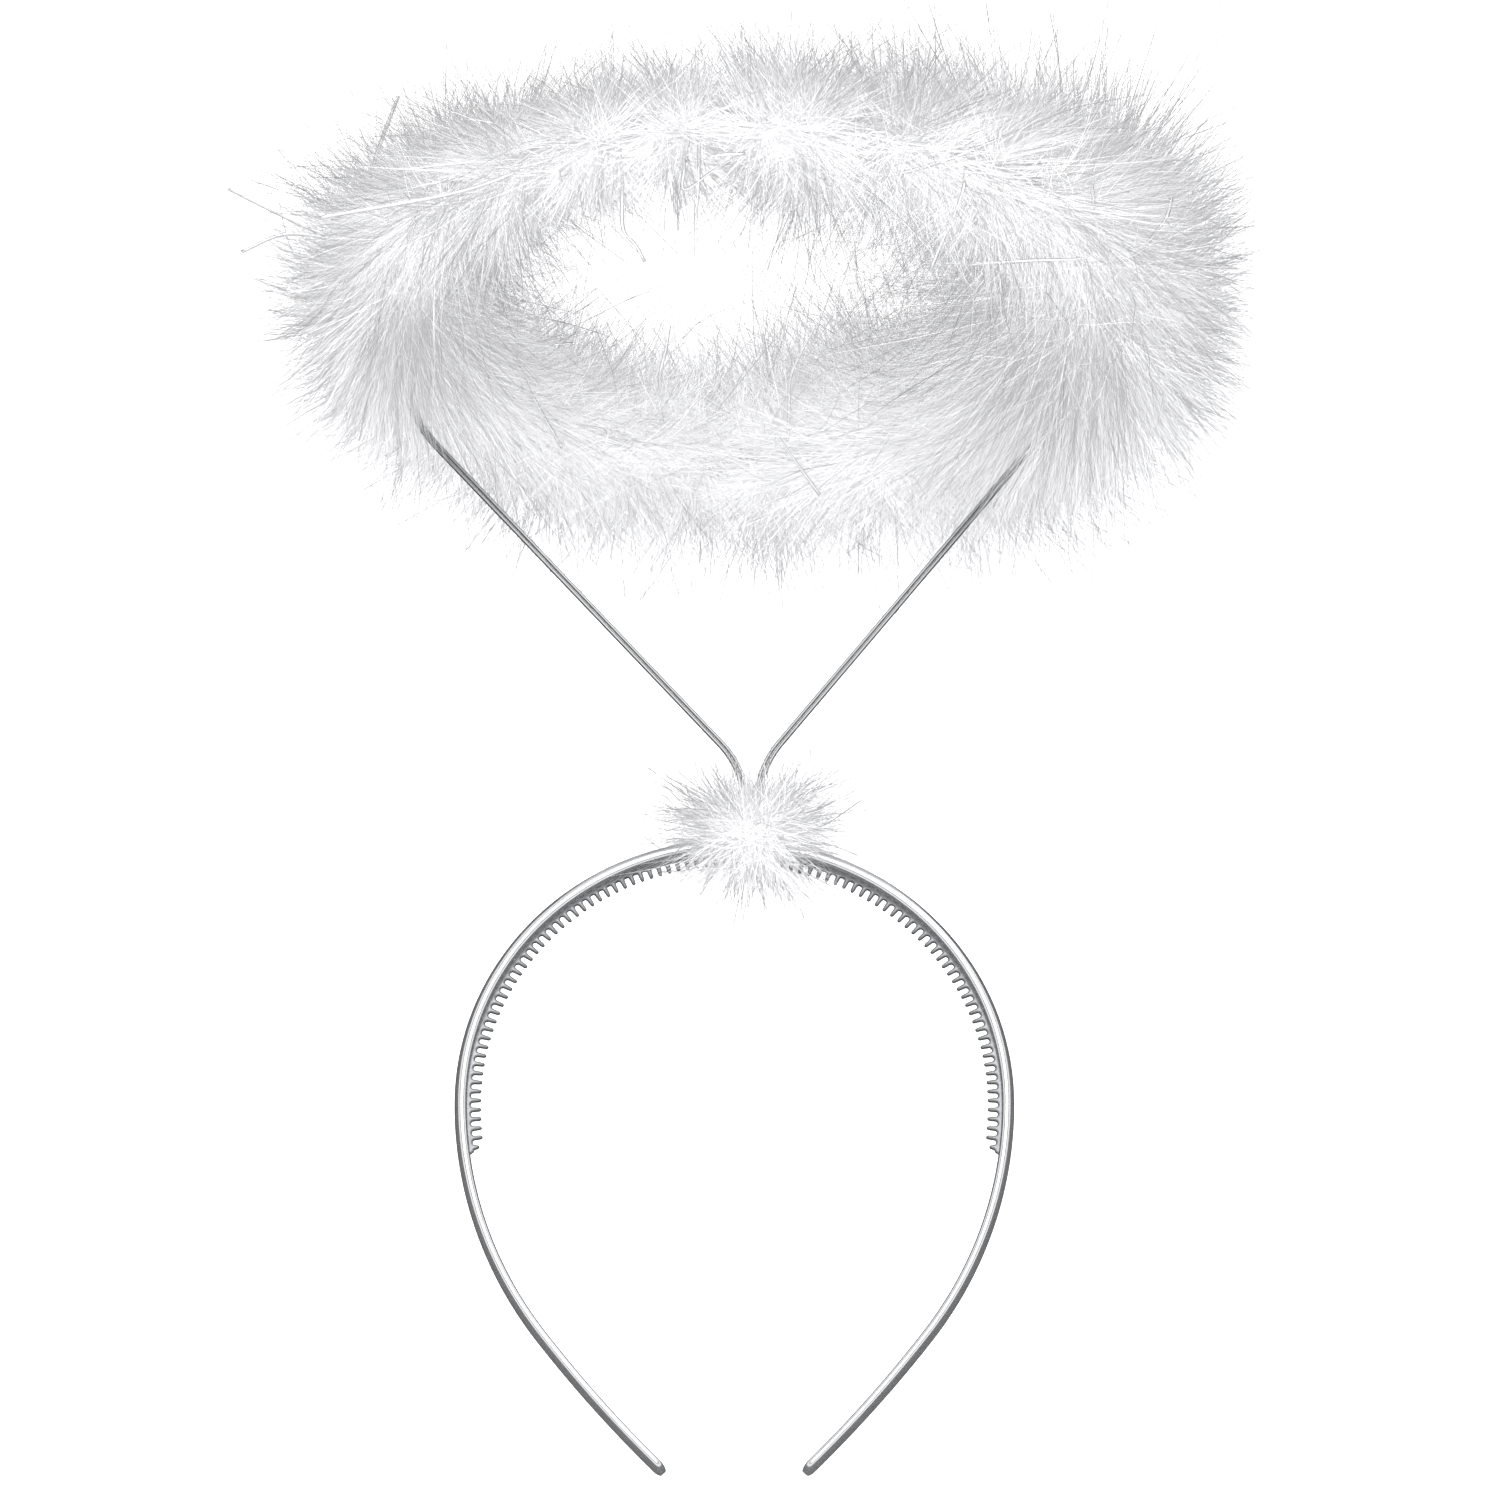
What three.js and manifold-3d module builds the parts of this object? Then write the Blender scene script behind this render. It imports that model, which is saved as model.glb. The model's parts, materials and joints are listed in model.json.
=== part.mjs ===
// A costume halo headband: a toothed plastic alice band, a fur pompom on its crown, and two wire stems
// that hold a furred halo ring above it. Millimetres. Each piece is drawn upright, with the crown of the
// band at the origin, +X to one ear, +Y to the back of the head and +Z up. The finished object is then
// laid on its back, on the halo's fur and the two tips of the band, with its front side up.

import * as THREE from 'three';
import { mergeVertices } from 'three/addons/utils/BufferGeometryUtils.js';
import Module from 'manifold-3d';

// Headband: the outer line is three arcs on each side, from the crown to the tip
const archRadius = 70;
const sideRadius = 104;
const sideTurnDegrees = 37;
const endRadius = 336;
const endTurnDegrees = 8;
const bandWidth = 7;
const bandTipWidth = 5.6;
const bandThickness = 3.7;
const bandTipThickness = 2.7;
const bandFacetLength = 6.6;

// Comb: one rib down the middle of the band's inner face, cut into teeth. The pitch is measured
// along the band's outer line.
const combThickness = 1.2;
const combRibHeight = 0.4;
const combHalfLength = 123.4;
const combRunOut = 1;
const toothPitch = 2.61;
const toothLength = 2.65;
const toothRootWidth = 1.26;
const toothTipWidth = 0.84;
const toothRootFillet = 0.4;

// Halo ring and the two doubled wires that carry it
const haloRadius = 93.5;
const haloHeight = 151;
const haloOffset = 3;
const haloTiltDegrees = 2;
const ringWireDiameter = 1.2;
const stemWireDiameter = 0.9;
const stemSpacing = 3.6;
const stemOffset = 4.25;
const stemBendHeight = 19.7;
const leftStemSlopeDegrees = 41.5;
const rightStemSlopeDegrees = 38.2;
const stemBendRadius = 9;
const shoulderInset = 8;

// Clasp: the plain saddle, hidden in the pompom, that seats the stems on the crown
const claspLength = 16;
const claspWall = 1.1;
const claspRise = 5;
const claspSkirt = 1.5;
const stemSeatHeight = 1.4;

// Halo fur: how far it stands out from the ring wire, outwards and upwards
const furSideReach = 31;
const furBackReach = 31;
const furFrontReach = 21;
const furSideRise = 30;
const furFrontRise = 15;
const furBackingShare = 0.78;
const furRestHeight = 26;
const furLockWidth = 23;
const furLockThickness = 15;
const furLockCurl = 4;
const furLocksAround = 30;
const furLocksPerSection = 6;

// Pompom
const pompomHalfLength = 20;
const pompomHalfDepth = 16;
const pompomHalfHeight = 15;
const pompomOffset = 4.4;
const pompomRise = 3.5;
const pompomBackingShare = 0.68;
const pompomLockWidth = 14;
const pompomLocks = 26;

// The gap between pieces that touch on the real object
const clearance = 0.3;

const wasm = await Module();
wasm.setup();

const radians = THREE.MathUtils.degToRad;
const goldenTurn = Math.PI * (3 - Math.sqrt(5));

// How much fuller than a plain cone a lock of fur grows towards its tip
const lockFullness = 1.9;

// The arcs of one side of the band's outer line, from the crown down
const bandArcs = [
  { radius: archRadius, turn: Math.PI / 2 },
  { radius: sideRadius, turn: radians(sideTurnDegrees) },
  { radius: endRadius, turn: radians(endTurnDegrees) },
];
const bandHalfLength = bandArcs.reduce((length, arc) => length + arc.radius * arc.turn, 0);

// The band's section: shares of its half width and of its thickness, round from one inner corner
// over the crowned outer face to the other inner corner
const bandSection = [
  { across: -0.76, depth: 1 },
  { across: -1, depth: 0.72 },
  { across: -0.93, depth: 0.34 },
  { across: -0.52, depth: 0.08 },
  { across: 0, depth: 0 },
  { across: 0.52, depth: 0.08 },
  { across: 0.93, depth: 0.34 },
  { across: 1, depth: 0.72 },
  { across: 0.76, depth: 1 },
];

// A closed mesh as a solid that can be joined and cut, and back again
function toSolid(geometry) {
  const plain = geometry.clone();
  plain.deleteAttribute('normal');
  plain.deleteAttribute('uv');
  const merged = mergeVertices(plain);
  return new wasm.Manifold(new wasm.Mesh({
    numProp: 3,
    vertProperties: Float32Array.from(merged.attributes.position.array),
    triVerts: Uint32Array.from(merged.index.array),
  }));
}

function toGeometry(solid) {
  const mesh = solid.getMesh();
  const geometry = new THREE.BufferGeometry();
  geometry.setAttribute('position', new THREE.BufferAttribute(mesh.vertProperties, 3));
  geometry.setIndex(new THREE.BufferAttribute(mesh.triVerts, 1));
  return geometry;
}

function joinAll(solids) {
  return solids.reduce((joined, solid) => joined.add(solid));
}

// Fur less the room for what passes through it, without the slivers of fur that this cuts loose
function furAround(fur, room) {
  const parts = fur.subtract(room).decompose();
  return parts.reduce((largest, part) => (part.volume() > largest.volume() ? part : largest));
}

// A closed skin over a row of rings with the same number of points, capped at both ends
function loft(rings) {
  const count = rings[0].length;
  const triangles = [];
  for (let row = 0; row + 1 < rings.length; row += 1) {
    for (let index = 0; index < count; index += 1) {
      const here = row * count + index;
      const beside = row * count + (index + 1) % count;
      triangles.push(here, beside + count, beside);
      triangles.push(here, here + count, beside + count);
    }
  }
  const last = (rings.length - 1) * count;
  for (let index = 1; index + 1 < count; index += 1) {
    triangles.push(0, index, index + 1);
    triangles.push(last, last + index + 1, last + index);
  }
  const geometry = new THREE.BufferGeometry().setFromPoints(rings.flat());
  geometry.setIndex(triangles);
  return geometry;
}

// The point of the band's outer line at a length from the crown, positive towards +X, moved
// inwards by a depth and across the band to one side
function bandPoint(length, depth, across) {
  let left = Math.abs(length);
  let turned = 0;
  const point = new THREE.Vector3();
  for (const arc of bandArcs) {
    const turn = Math.min(left / arc.radius, arc.turn);
    point.x += arc.radius * (Math.sin(turned + turn) - Math.sin(turned));
    point.z += arc.radius * (Math.cos(turned + turn) - Math.cos(turned));
    turned += turn;
    left -= arc.radius * turn;
  }
  point.x -= depth * Math.sin(turned);
  point.z -= depth * Math.cos(turned);
  point.x *= Math.sign(length);
  point.y = across;
  return point;
}

// Lengths along the band at which its section is drawn: equal facets, with the middle one flat on
// the crown, and closer sections round each tip
function bandStations() {
  const tipRound = bandTipWidth / 2;
  const bodyHalf = bandHalfLength - tipRound;
  const facets = 2 * Math.round(bodyHalf / bandFacetLength) + 1;
  const stations = [];
  for (let index = 0; index <= facets; index += 1) {
    stations.push(bodyHalf * (2 * index / facets - 1));
  }
  for (const share of [0.5, 0.84, 0.985]) {
    stations.push(bodyHalf + tipRound * share);
    stations.unshift(-bodyHalf - tipRound * share);
  }
  return stations;
}

// The band itself, or the space it needs when it grows by a clearance
function bandSolid(growth) {
  const tipRound = bandTipWidth / 2;
  const rings = bandStations().map((length) => {
    const share = Math.abs(length) / bandHalfLength;
    const past = Math.max(0, Math.abs(length) - bandHalfLength + tipRound) / tipRound;
    const rounding = Math.sqrt(1 - past * past);
    const halfWidth = THREE.MathUtils.lerp(bandWidth, bandTipWidth, share) / 2 * rounding + growth;
    const thickness = THREE.MathUtils.lerp(bandThickness, bandTipThickness, share);
    return bandSection.map(({ across, depth }) => {
      const inward = depth * (thickness + 2 * growth) - growth;
      return bandPoint(length, inward, across * halfWidth);
    });
  });
  return toSolid(loft(rings));
}

// A flat plate in the plane of the band, drawn as a row of lengths and depths from its outer line
function bandPlate(outline, thickness) {
  const shape = new THREE.Shape(outline.map(({ length, depth }) => {
    const point = bandPoint(length, depth, 0);
    return new THREE.Vector2(point.x, point.z);
  }));
  const plate = new THREE.ExtrudeGeometry(shape, { depth: thickness, bevelEnabled: false });
  plate.rotateX(Math.PI / 2);
  plate.translate(0, thickness / 2, 0);
  return toSolid(plate);
}

// The comb's edge that is sunk in the band, from the +X end back to the -X end
function combSeat(reach, depth) {
  const steps = 2 * Math.ceil(reach / bandFacetLength);
  const seat = [];
  for (let index = 0; index <= steps; index += 1) {
    seat.push({ length: reach * (1 - 2 * index / steps), depth });
  }
  return seat;
}

// The comb: a rib with one tooth at each pitch, and a lead-in at each end
function combSolid() {
  const root = bandThickness + combRibHeight;
  const side = Math.floor(combHalfLength / toothPitch);
  const reach = (side + 0.5) * toothPitch + combRunOut;
  const outline = combSeat(reach, bandThickness / 2);
  for (let tooth = -side; tooth <= side; tooth += 1) {
    const middle = tooth * toothPitch;
    const tip = root + toothLength * (Math.abs(tooth) === side ? 0.6 : 1);
    outline.push({ length: middle - toothPitch / 2, depth: root });
    outline.push({ length: middle - toothRootWidth / 2, depth: root + toothRootFillet });
    outline.push({ length: middle - toothTipWidth / 2, depth: tip });
    outline.push({ length: middle + toothTipWidth / 2, depth: tip });
    outline.push({ length: middle + toothRootWidth / 2, depth: root + toothRootFillet });
  }
  outline.push({ length: (side + 0.5) * toothPitch, depth: root });
  return bandPlate(outline, combThickness);
}

function headband() {
  return toGeometry(bandSolid(0).add(combSolid()));
}

// The middle of the ring wire at a turn round the halo: 0 at +X, a quarter turn at the back
function ringPoint(turn) {
  const tilt = radians(haloTiltDegrees);
  const back = haloRadius * Math.sin(turn);
  return new THREE.Vector3(
    haloOffset + haloRadius * Math.cos(turn),
    back * Math.cos(tilt),
    haloHeight - back * Math.sin(tilt),
  );
}

function ringWireSolid(growth) {
  const ring = new THREE.TorusGeometry(haloRadius, ringWireDiameter / 2 + growth, 5, 48);
  ring.rotateX(-radians(haloTiltDegrees));
  ring.translate(haloOffset, 0, haloHeight);
  return toSolid(ring);
}

// The two wires of a stem side by side, as one outline with a waist
function stemSection(growth) {
  const radius = stemWireDiameter / 2;
  const reach = radius + growth;
  const shape = new THREE.Shape();
  shape.moveTo(0, -reach * 0.72);
  shape.lineTo(radius, -reach);
  shape.lineTo(radius + reach, 0);
  shape.lineTo(radius, reach);
  shape.lineTo(0, reach * 0.72);
  shape.lineTo(-radius, reach);
  shape.lineTo(-radius - reach, 0);
  shape.lineTo(-radius, -reach);
  return shape;
}

// One stem's route: up out of the clasp, out along its slope to a shoulder, and up to the ring. The
// room for it runs on past both ends.
function stemPath(side, slopeDegrees, past) {
  const footX = stemOffset + side * stemSpacing / 2;
  const topX = haloOffset + side * haloRadius;
  const shoulderX = topX - side * shoulderInset;
  const shoulderZ = stemBendHeight + Math.abs(shoulderX - footX) / Math.tan(radians(slopeDegrees));
  const foot = new THREE.Vector3(footX, 0, stemSeatHeight - past);
  const bend = new THREE.Vector3(footX, 0, stemBendHeight);
  const shoulder = new THREE.Vector3(shoulderX, 0, shoulderZ);
  const top = new THREE.Vector3(topX, 0, haloHeight - ringWireDiameter / 2 - clearance + past);
  const path = new THREE.CurvePath();
  let from = foot;
  for (const [corner, next] of [[bend, shoulder], [shoulder, top]]) {
    const before = from.clone().sub(corner).setLength(stemBendRadius).add(corner);
    const after = next.clone().sub(corner).setLength(stemBendRadius).add(corner);
    path.add(new THREE.LineCurve3(from, before));
    path.add(new THREE.QuadraticBezierCurve3(before, corner, after));
    from = after;
  }
  path.add(new THREE.LineCurve3(from, top));
  return path;
}

function stemSolid(side, slopeDegrees, growth) {
  const path = stemPath(side, slopeDegrees, 2 * growth);
  const steps = Math.ceil(path.getLength() / (stemBendRadius * 0.7));
  return toSolid(new THREE.ExtrudeGeometry(stemSection(growth), { steps, extrudePath: path }));
}

// The space both stems need, with the clearance round them and past their ends
function stemRoom() {
  const left = stemSolid(-1, leftStemSlopeDegrees, clearance);
  const right = stemSolid(1, rightStemSlopeDegrees, clearance);
  return left.add(right);
}

function claspSolid(growth) {
  const width = bandWidth + 2 * (clearance + claspWall + growth);
  const height = claspRise + claspSkirt + 2 * growth;
  const block = new THREE.BoxGeometry(claspLength + 2 * growth, width, height);
  block.translate(stemOffset, 0, (claspRise - claspSkirt) / 2);
  return toSolid(block);
}

function crownClasp() {
  return toGeometry(claspSolid(0).subtract(bandSolid(clearance)).subtract(stemRoom()));
}

// How far back the object leans on its back, and how high any upright point then stands over the
// surface it lies on. The band rests on its lowest points, and the ring on furRestHeight of fur.
function restOn(bandGeometry) {
  const back = ringPoint(Math.PI / 2);
  const points = bandGeometry.attributes.position;
  const point = new THREE.Vector3();
  let lean = Math.atan2(haloRadius, haloHeight + 2 * archRadius);
  let lowest = 0;
  for (let pass = 0; pass < 4; pass += 1) {
    const low = new THREE.Vector3();
    lowest = Infinity;
    for (let index = 0; index < points.count; index += 1) {
      point.fromBufferAttribute(points, index);
      const height = point.z * Math.sin(lean) - point.y * Math.cos(lean);
      if (height < lowest) {
        lowest = height;
        low.copy(point);
      }
    }
    const run = back.y - low.y;
    const rise = back.z - low.z;
    lean = Math.atan2(run, rise) + Math.asin(furRestHeight / Math.hypot(run, rise));
  }
  return {
    lean,
    heightOf: (place) => place.z * Math.sin(lean) - place.y * Math.cos(lean) - lowest,
    fallOf: (direction) => direction.y * Math.cos(lean) - direction.z * Math.sin(lean),
  };
}

// One tapered, curled lock of fur: it starts at root, runs along outward for its length, is as wide
// as width along across, is fullest at its middle, and its tip bends aside by curl
function lock({ root, outward, across, length, width, thickness, curl }) {
  const cone = new THREE.ConeGeometry(1, 1, 4, 2);
  cone.translate(0, 0.5, 0);
  const through = new THREE.Vector3().crossVectors(across, outward);
  const points = cone.attributes.position;
  const point = new THREE.Vector3();
  for (let index = 0; index < points.count; index += 1) {
    const along = points.getY(index);
    const swell = 1 + lockFullness * along;
    point.copy(root);
    point.addScaledVector(outward, along * length);
    point.addScaledVector(across, points.getX(index) * swell * width / 2 + curl * along * along);
    point.addScaledVector(through, points.getZ(index) * swell * thickness / 2);
    points.setXYZ(index, point.x, point.y, point.z);
  }
  return toSolid(cone);
}

// How far the halo's fur reaches at a turn round the ring and an angle round the wire: it is
// shorter and flatter at the front
function furReach(turn, angle) {
  const back = Math.sin(turn);
  const front = back < 0 ? back * back : 0;
  const rear = back > 0 ? back * back : 0;
  const side = THREE.MathUtils.lerp(furSideReach, furBackReach, rear);
  const outwards = THREE.MathUtils.lerp(side, furFrontReach, front);
  const upwards = THREE.MathUtils.lerp(furSideRise, furFrontRise, front);
  return 1 / Math.hypot(Math.cos(angle) / outwards, Math.sin(angle) / upwards);
}

// The direction out of the ring wire at a turn round the ring and an angle round the wire
function furDirection(turn, angle) {
  const outward = new THREE.Vector3(
    Math.cos(turn) * Math.cos(angle),
    Math.sin(turn) * Math.cos(angle),
    Math.sin(angle),
  );
  return outward.applyAxisAngle(new THREE.Vector3(1, 0, 0), -radians(haloTiltDegrees));
}

// The fur's solid middle, a ring whose section follows the fur's reach
function furBacking() {
  const sides = 8;
  const backing = new THREE.TorusGeometry(haloRadius, 1, sides, furLocksAround);
  const points = backing.attributes.position;
  for (let index = 0; index < points.count; index += 1) {
    const turn = Math.atan2(points.getY(index), points.getX(index));
    const outwards = Math.hypot(points.getX(index), points.getY(index)) - haloRadius;
    const angle = Math.atan2(points.getZ(index), outwards);
    const reach = furReach(turn, angle) * furBackingShare;
    const place = ringPoint(turn).addScaledVector(furDirection(turn, angle), reach);
    points.setXYZ(index, place.x, place.y, place.z);
  }
  return toSolid(backing);
}

// The halo's fur: locks in rings round the wire, each ring turned half a step from the last, on a
// backing, with a channel for the ring wire and the stems. No lock reaches below the surface that
// the object lies on.
function haloFur(rest) {
  const locks = [furBacking()];
  for (let place = 0; place < furLocksAround; place += 1) {
    const turn = 2 * Math.PI * (place + 0.5) / furLocksAround;
    for (let spoke = 0; spoke < furLocksPerSection; spoke += 1) {
      const angle = 2 * Math.PI * (spoke + (place % 2) / 2) / furLocksPerSection;
      const curl = furLockCurl * (spoke % 2 === 0 ? 1 : -1);
      const root = ringPoint(turn);
      const outward = furDirection(turn, angle);
      const across = furDirection(turn + Math.PI / 2, 0);
      const fall = rest.fallOf(outward);
      const height = rest.heightOf(root.clone().addScaledVector(across, curl));
      const room = fall > 0 ? height / fall : Infinity;
      locks.push(lock({
        root,
        outward,
        across,
        length: Math.min(furReach(turn, angle), room),
        width: furLockWidth,
        thickness: furLockThickness,
        curl,
      }));
    }
  }
  return toGeometry(furAround(joinAll(locks), ringWireSolid(clearance).add(stemRoom())));
}

// The pompom: locks spread evenly over an oval backing, round the clasp, the band and the stems
function pompom() {
  const middle = new THREE.Vector3(pompomOffset, 0, pompomRise);
  const halfSizes = new THREE.Vector3(pompomHalfLength, pompomHalfDepth, pompomHalfHeight);
  const backing = new THREE.IcosahedronGeometry(pompomBackingShare, 1);
  backing.scale(halfSizes.x, halfSizes.y, halfSizes.z);
  backing.translate(middle.x, middle.y, middle.z);
  const locks = [toSolid(backing)];
  for (let index = 0; index < pompomLocks; index += 1) {
    const height = 1 - (2 * index + 1) / pompomLocks;
    const turn = index * goldenTurn;
    const round = Math.sqrt(1 - height * height);
    const spread = new THREE.Vector3(round * Math.cos(turn), round * Math.sin(turn), height);
    const reach = spread.clone().multiply(halfSizes);
    const outward = reach.clone().normalize();
    const across = new THREE.Vector3(-Math.sin(turn), Math.cos(turn), 0);
    locks.push(lock({
      root: middle,
      outward,
      across: across.addScaledVector(outward, -across.dot(outward)).normalize(),
      length: reach.length(),
      width: pompomLockWidth,
      thickness: pompomLockWidth,
      curl: 0,
    }));
  }
  const room = joinAll([bandSolid(clearance), combRoom(), claspSolid(clearance), stemRoom()]);
  return toGeometry(furAround(joinAll(locks), room));
}

// The space the comb needs, without the gaps between its teeth
function combRoom() {
  const depth = bandThickness + combRibHeight + toothLength + clearance;
  const outer = combSeat(combHalfLength, bandThickness / 2);
  const inner = combSeat(combHalfLength, depth).reverse();
  return bandPlate([...outer, ...inner], combThickness + 2 * clearance);
}

function material(colour, roughness, metalness) {
  return new THREE.MeshStandardMaterial({ color: colour, roughness, metalness });
}

function piece(name, geometry, finish) {
  const mesh = new THREE.Mesh(geometry, finish);
  mesh.name = name;
  return mesh;
}

// The upright assembly, laid on its back, with its origin under the middle of its box
function haloHeadband() {
  const silver = material(0xb9bcc1, 0.25, 0.85);
  const steel = material(0xc4c6c8, 0.22, 1);
  const fur = material(0xf4f4f6, 0.95, 0);
  const band = headband();
  const rest = restOn(band);
  const upright = new THREE.Group();
  upright.add(piece('headband', band, silver));
  upright.add(piece('crown_clasp', crownClasp(), silver));
  upright.add(piece('left_stem', toGeometry(stemSolid(-1, leftStemSlopeDegrees, 0)), steel));
  upright.add(piece('right_stem', toGeometry(stemSolid(1, rightStemSlopeDegrees, 0)), steel));
  upright.add(piece('ring_wire', toGeometry(ringWireSolid(0)), steel));
  upright.add(piece('halo_fur', haloFur(rest), fur));
  upright.add(piece('pompom', pompom(), fur));
  upright.rotation.x = rest.lean - Math.PI / 2;
  const object = new THREE.Group();
  object.add(upright);
  object.updateMatrixWorld(true);
  const box = new THREE.Box3().setFromObject(object, true);
  const middle = box.getCenter(new THREE.Vector3());
  upright.position.set(-middle.x, -middle.y, -box.min.z);
  return object;
}

export default haloHeadband();
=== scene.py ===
"""A costume halo headband: silver toothed band, fur pompom, two wire stems and a furred halo ring.

Every piece is shaped upright, with the band's crown at the origin, +X to one side, +Y to the back
and +Z up, and is then laid on its back with the frame. Lengths are in metres.
"""

import json
import math
from typing import NamedTuple

import bpy
import numpy as np
from bpy.props import FloatProperty, FloatVectorProperty, IntProperty, PointerProperty
from mathutils import Matrix, Vector


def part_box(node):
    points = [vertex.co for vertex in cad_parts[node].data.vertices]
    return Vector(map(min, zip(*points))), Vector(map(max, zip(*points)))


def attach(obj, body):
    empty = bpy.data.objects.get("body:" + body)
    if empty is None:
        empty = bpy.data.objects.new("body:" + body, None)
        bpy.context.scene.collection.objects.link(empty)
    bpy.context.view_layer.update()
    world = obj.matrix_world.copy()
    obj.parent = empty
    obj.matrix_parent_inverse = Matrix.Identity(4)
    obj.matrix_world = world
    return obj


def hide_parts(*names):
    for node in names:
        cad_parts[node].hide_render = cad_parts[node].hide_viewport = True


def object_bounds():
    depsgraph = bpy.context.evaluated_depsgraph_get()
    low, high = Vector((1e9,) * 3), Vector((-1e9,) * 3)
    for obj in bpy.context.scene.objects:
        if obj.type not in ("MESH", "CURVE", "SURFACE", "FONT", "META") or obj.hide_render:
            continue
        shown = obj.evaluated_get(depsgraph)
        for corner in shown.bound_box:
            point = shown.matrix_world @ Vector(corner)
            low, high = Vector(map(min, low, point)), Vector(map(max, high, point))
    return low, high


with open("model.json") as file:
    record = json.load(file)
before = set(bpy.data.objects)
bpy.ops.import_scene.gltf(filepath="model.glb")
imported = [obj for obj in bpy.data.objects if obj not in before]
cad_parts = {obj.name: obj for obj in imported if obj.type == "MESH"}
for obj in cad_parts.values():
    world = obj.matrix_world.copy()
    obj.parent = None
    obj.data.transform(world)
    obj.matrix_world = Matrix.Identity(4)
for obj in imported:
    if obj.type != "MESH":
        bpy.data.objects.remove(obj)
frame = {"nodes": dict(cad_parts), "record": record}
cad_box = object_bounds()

bl_info = {
    "name": "Halo Headband",
    "version": (1, 0, 0),
    "blender": (4, 5, 0),
    "location": "View3D > Sidebar > Halo",
    "description": "Dresses a costume halo headband with fur, wire, tinsel and silver plastic",
    "category": "Add Mesh",
}

BODY = "root"
MILLIMETRE = 0.001

# Sizes of the frame's own pieces, read from their boxes
band_low, band_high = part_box("headband")
ring_low, ring_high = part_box("ring_wire")
RING_WIRE_RADIUS = 0.6 * MILLIMETRE
ARCH_RADIUS = (band_high.x - band_low.x) / 2
HALO_RADIUS = (ring_high.x - ring_low.x) / 2 - RING_WIRE_RADIUS
HALO_OFFSET = (ring_low.x + ring_high.x) / 2 - (band_low.x + band_high.x) / 2

# Sizes of the band that the frame doesn't give by itself
BAND_ARCS = (
    (ARCH_RADIUS, math.pi / 2),
    (104 * MILLIMETRE, math.radians(37)),
    (336 * MILLIMETRE, math.radians(8)),
)
BAND_HALF_LENGTH = sum(radius * turn for radius, turn in BAND_ARCS)
BAND_THICKNESS = 3.7 * MILLIMETRE

# The halo ring stands this high over the crown, with its front edge tilted up
HALO_HEIGHT = 151 * MILLIMETRE
HALO_TILT = math.radians(2)

# The photograph was taken from this far below the level of the band
VIEW_BELOW = math.radians(22)
VIEW_RIGHT = np.array((1.0, 0.0, 0.0))
VIEW_UP = np.array((0.0, -math.sin(VIEW_BELOW), math.cos(VIEW_BELOW)))
VIEW_BACK = np.array((0.0, -math.cos(VIEW_BELOW), -math.sin(VIEW_BELOW)))

FLOOR_CLEARANCE = 0.4 * MILLIMETRE
FLOOR_SOFTNESS = 2.5 * MILLIMETRE

# The longest strands of fur end this far outside the frame's own box
FUR_MARGIN = 15 * MILLIMETRE


def upright_to_frame():
    """The matrix that lays the upright object in the frame, from a mount's axis and the ring's box."""
    axis = frame["record"]["mounts"][0]["axis"]
    turn = Matrix.Rotation(math.atan2(-axis[2], -axis[1]) - math.pi / 2, 4, "X")
    ring_middle = (ring_low + ring_high) / 2
    return Matrix.Translation(ring_middle - turn @ Vector((HALO_OFFSET, 0.0, HALO_HEIGHT))) @ turn


LAY = upright_to_frame()


def laid(points):
    """Upright points, laid in the frame."""
    matrix = np.array(LAY)
    return points @ matrix[:3, :3].T + matrix[:3, 3]


def unit(vectors):
    """Vectors scaled to length one along their last axis."""
    return vectors / np.maximum(np.linalg.norm(vectors, axis=-1, keepdims=True), 1e-12)


# Mesh making


def array_mesh(name, points, face_sets, strand=None, shell=None):
    """A mesh from point and face arrays, with an optional strand map and shell normals for fur."""
    mesh = bpy.data.meshes.new(name)
    corners = np.concatenate([faces.ravel() for faces in face_sets]).astype(np.int32)
    counts = np.concatenate([np.full(len(faces), faces.shape[1]) for faces in face_sets])
    starts = np.concatenate([[0], np.cumsum(counts)[:-1]]).astype(np.int32)
    mesh.vertices.add(len(points))
    mesh.vertices.foreach_set("co", points.astype(np.float32).ravel())
    mesh.loops.add(len(corners))
    mesh.loops.foreach_set("vertex_index", corners)
    mesh.polygons.add(len(counts))
    mesh.polygons.foreach_set("loop_start", starts)
    if strand is not None:
        layer = mesh.uv_layers.new(name="strand")
        layer.data.foreach_set("uv", strand[corners].astype(np.float32).ravel())
    if shell is not None:
        layer = mesh.attributes.new(name="shell", type="FLOAT_VECTOR", domain="POINT")
        layer.data.foreach_set("vector", shell.astype(np.float32).ravel())
    mesh.update(calc_edges=True)
    mesh.polygons.foreach_set("use_smooth", np.ones(len(counts), bool))
    return mesh


def place(name, mesh, material, nodes=()):
    """Puts a mesh that is already laid in the frame into the scene as a piece of the object."""
    piece = bpy.data.objects.new(name, mesh)
    bpy.context.scene.collection.objects.link(piece)
    mesh.materials.append(material)
    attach(piece, BODY)
    if nodes:
        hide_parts(*nodes)
    return piece


def grid_faces(rows, count):
    """Quads between rows of a skin whose rings are closed and hold count points each."""
    row, column = np.meshgrid(np.arange(rows - 1), np.arange(count), indexing="ij")
    here = row * count + column
    beside = row * count + (column + 1) % count
    return np.stack([here, here + count, beside + count, beside], -1).reshape(-1, 4)


def cap_faces(rows, count):
    """Triangles that close the first and the last ring of a skin."""
    step = np.arange(1, count - 1)
    first = np.stack([np.zeros_like(step), step, step + 1], -1)
    last = (rows - 1) * count
    return np.concatenate([first, np.stack([last + 0 * step, last + step + 1, last + step], -1)])


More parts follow.
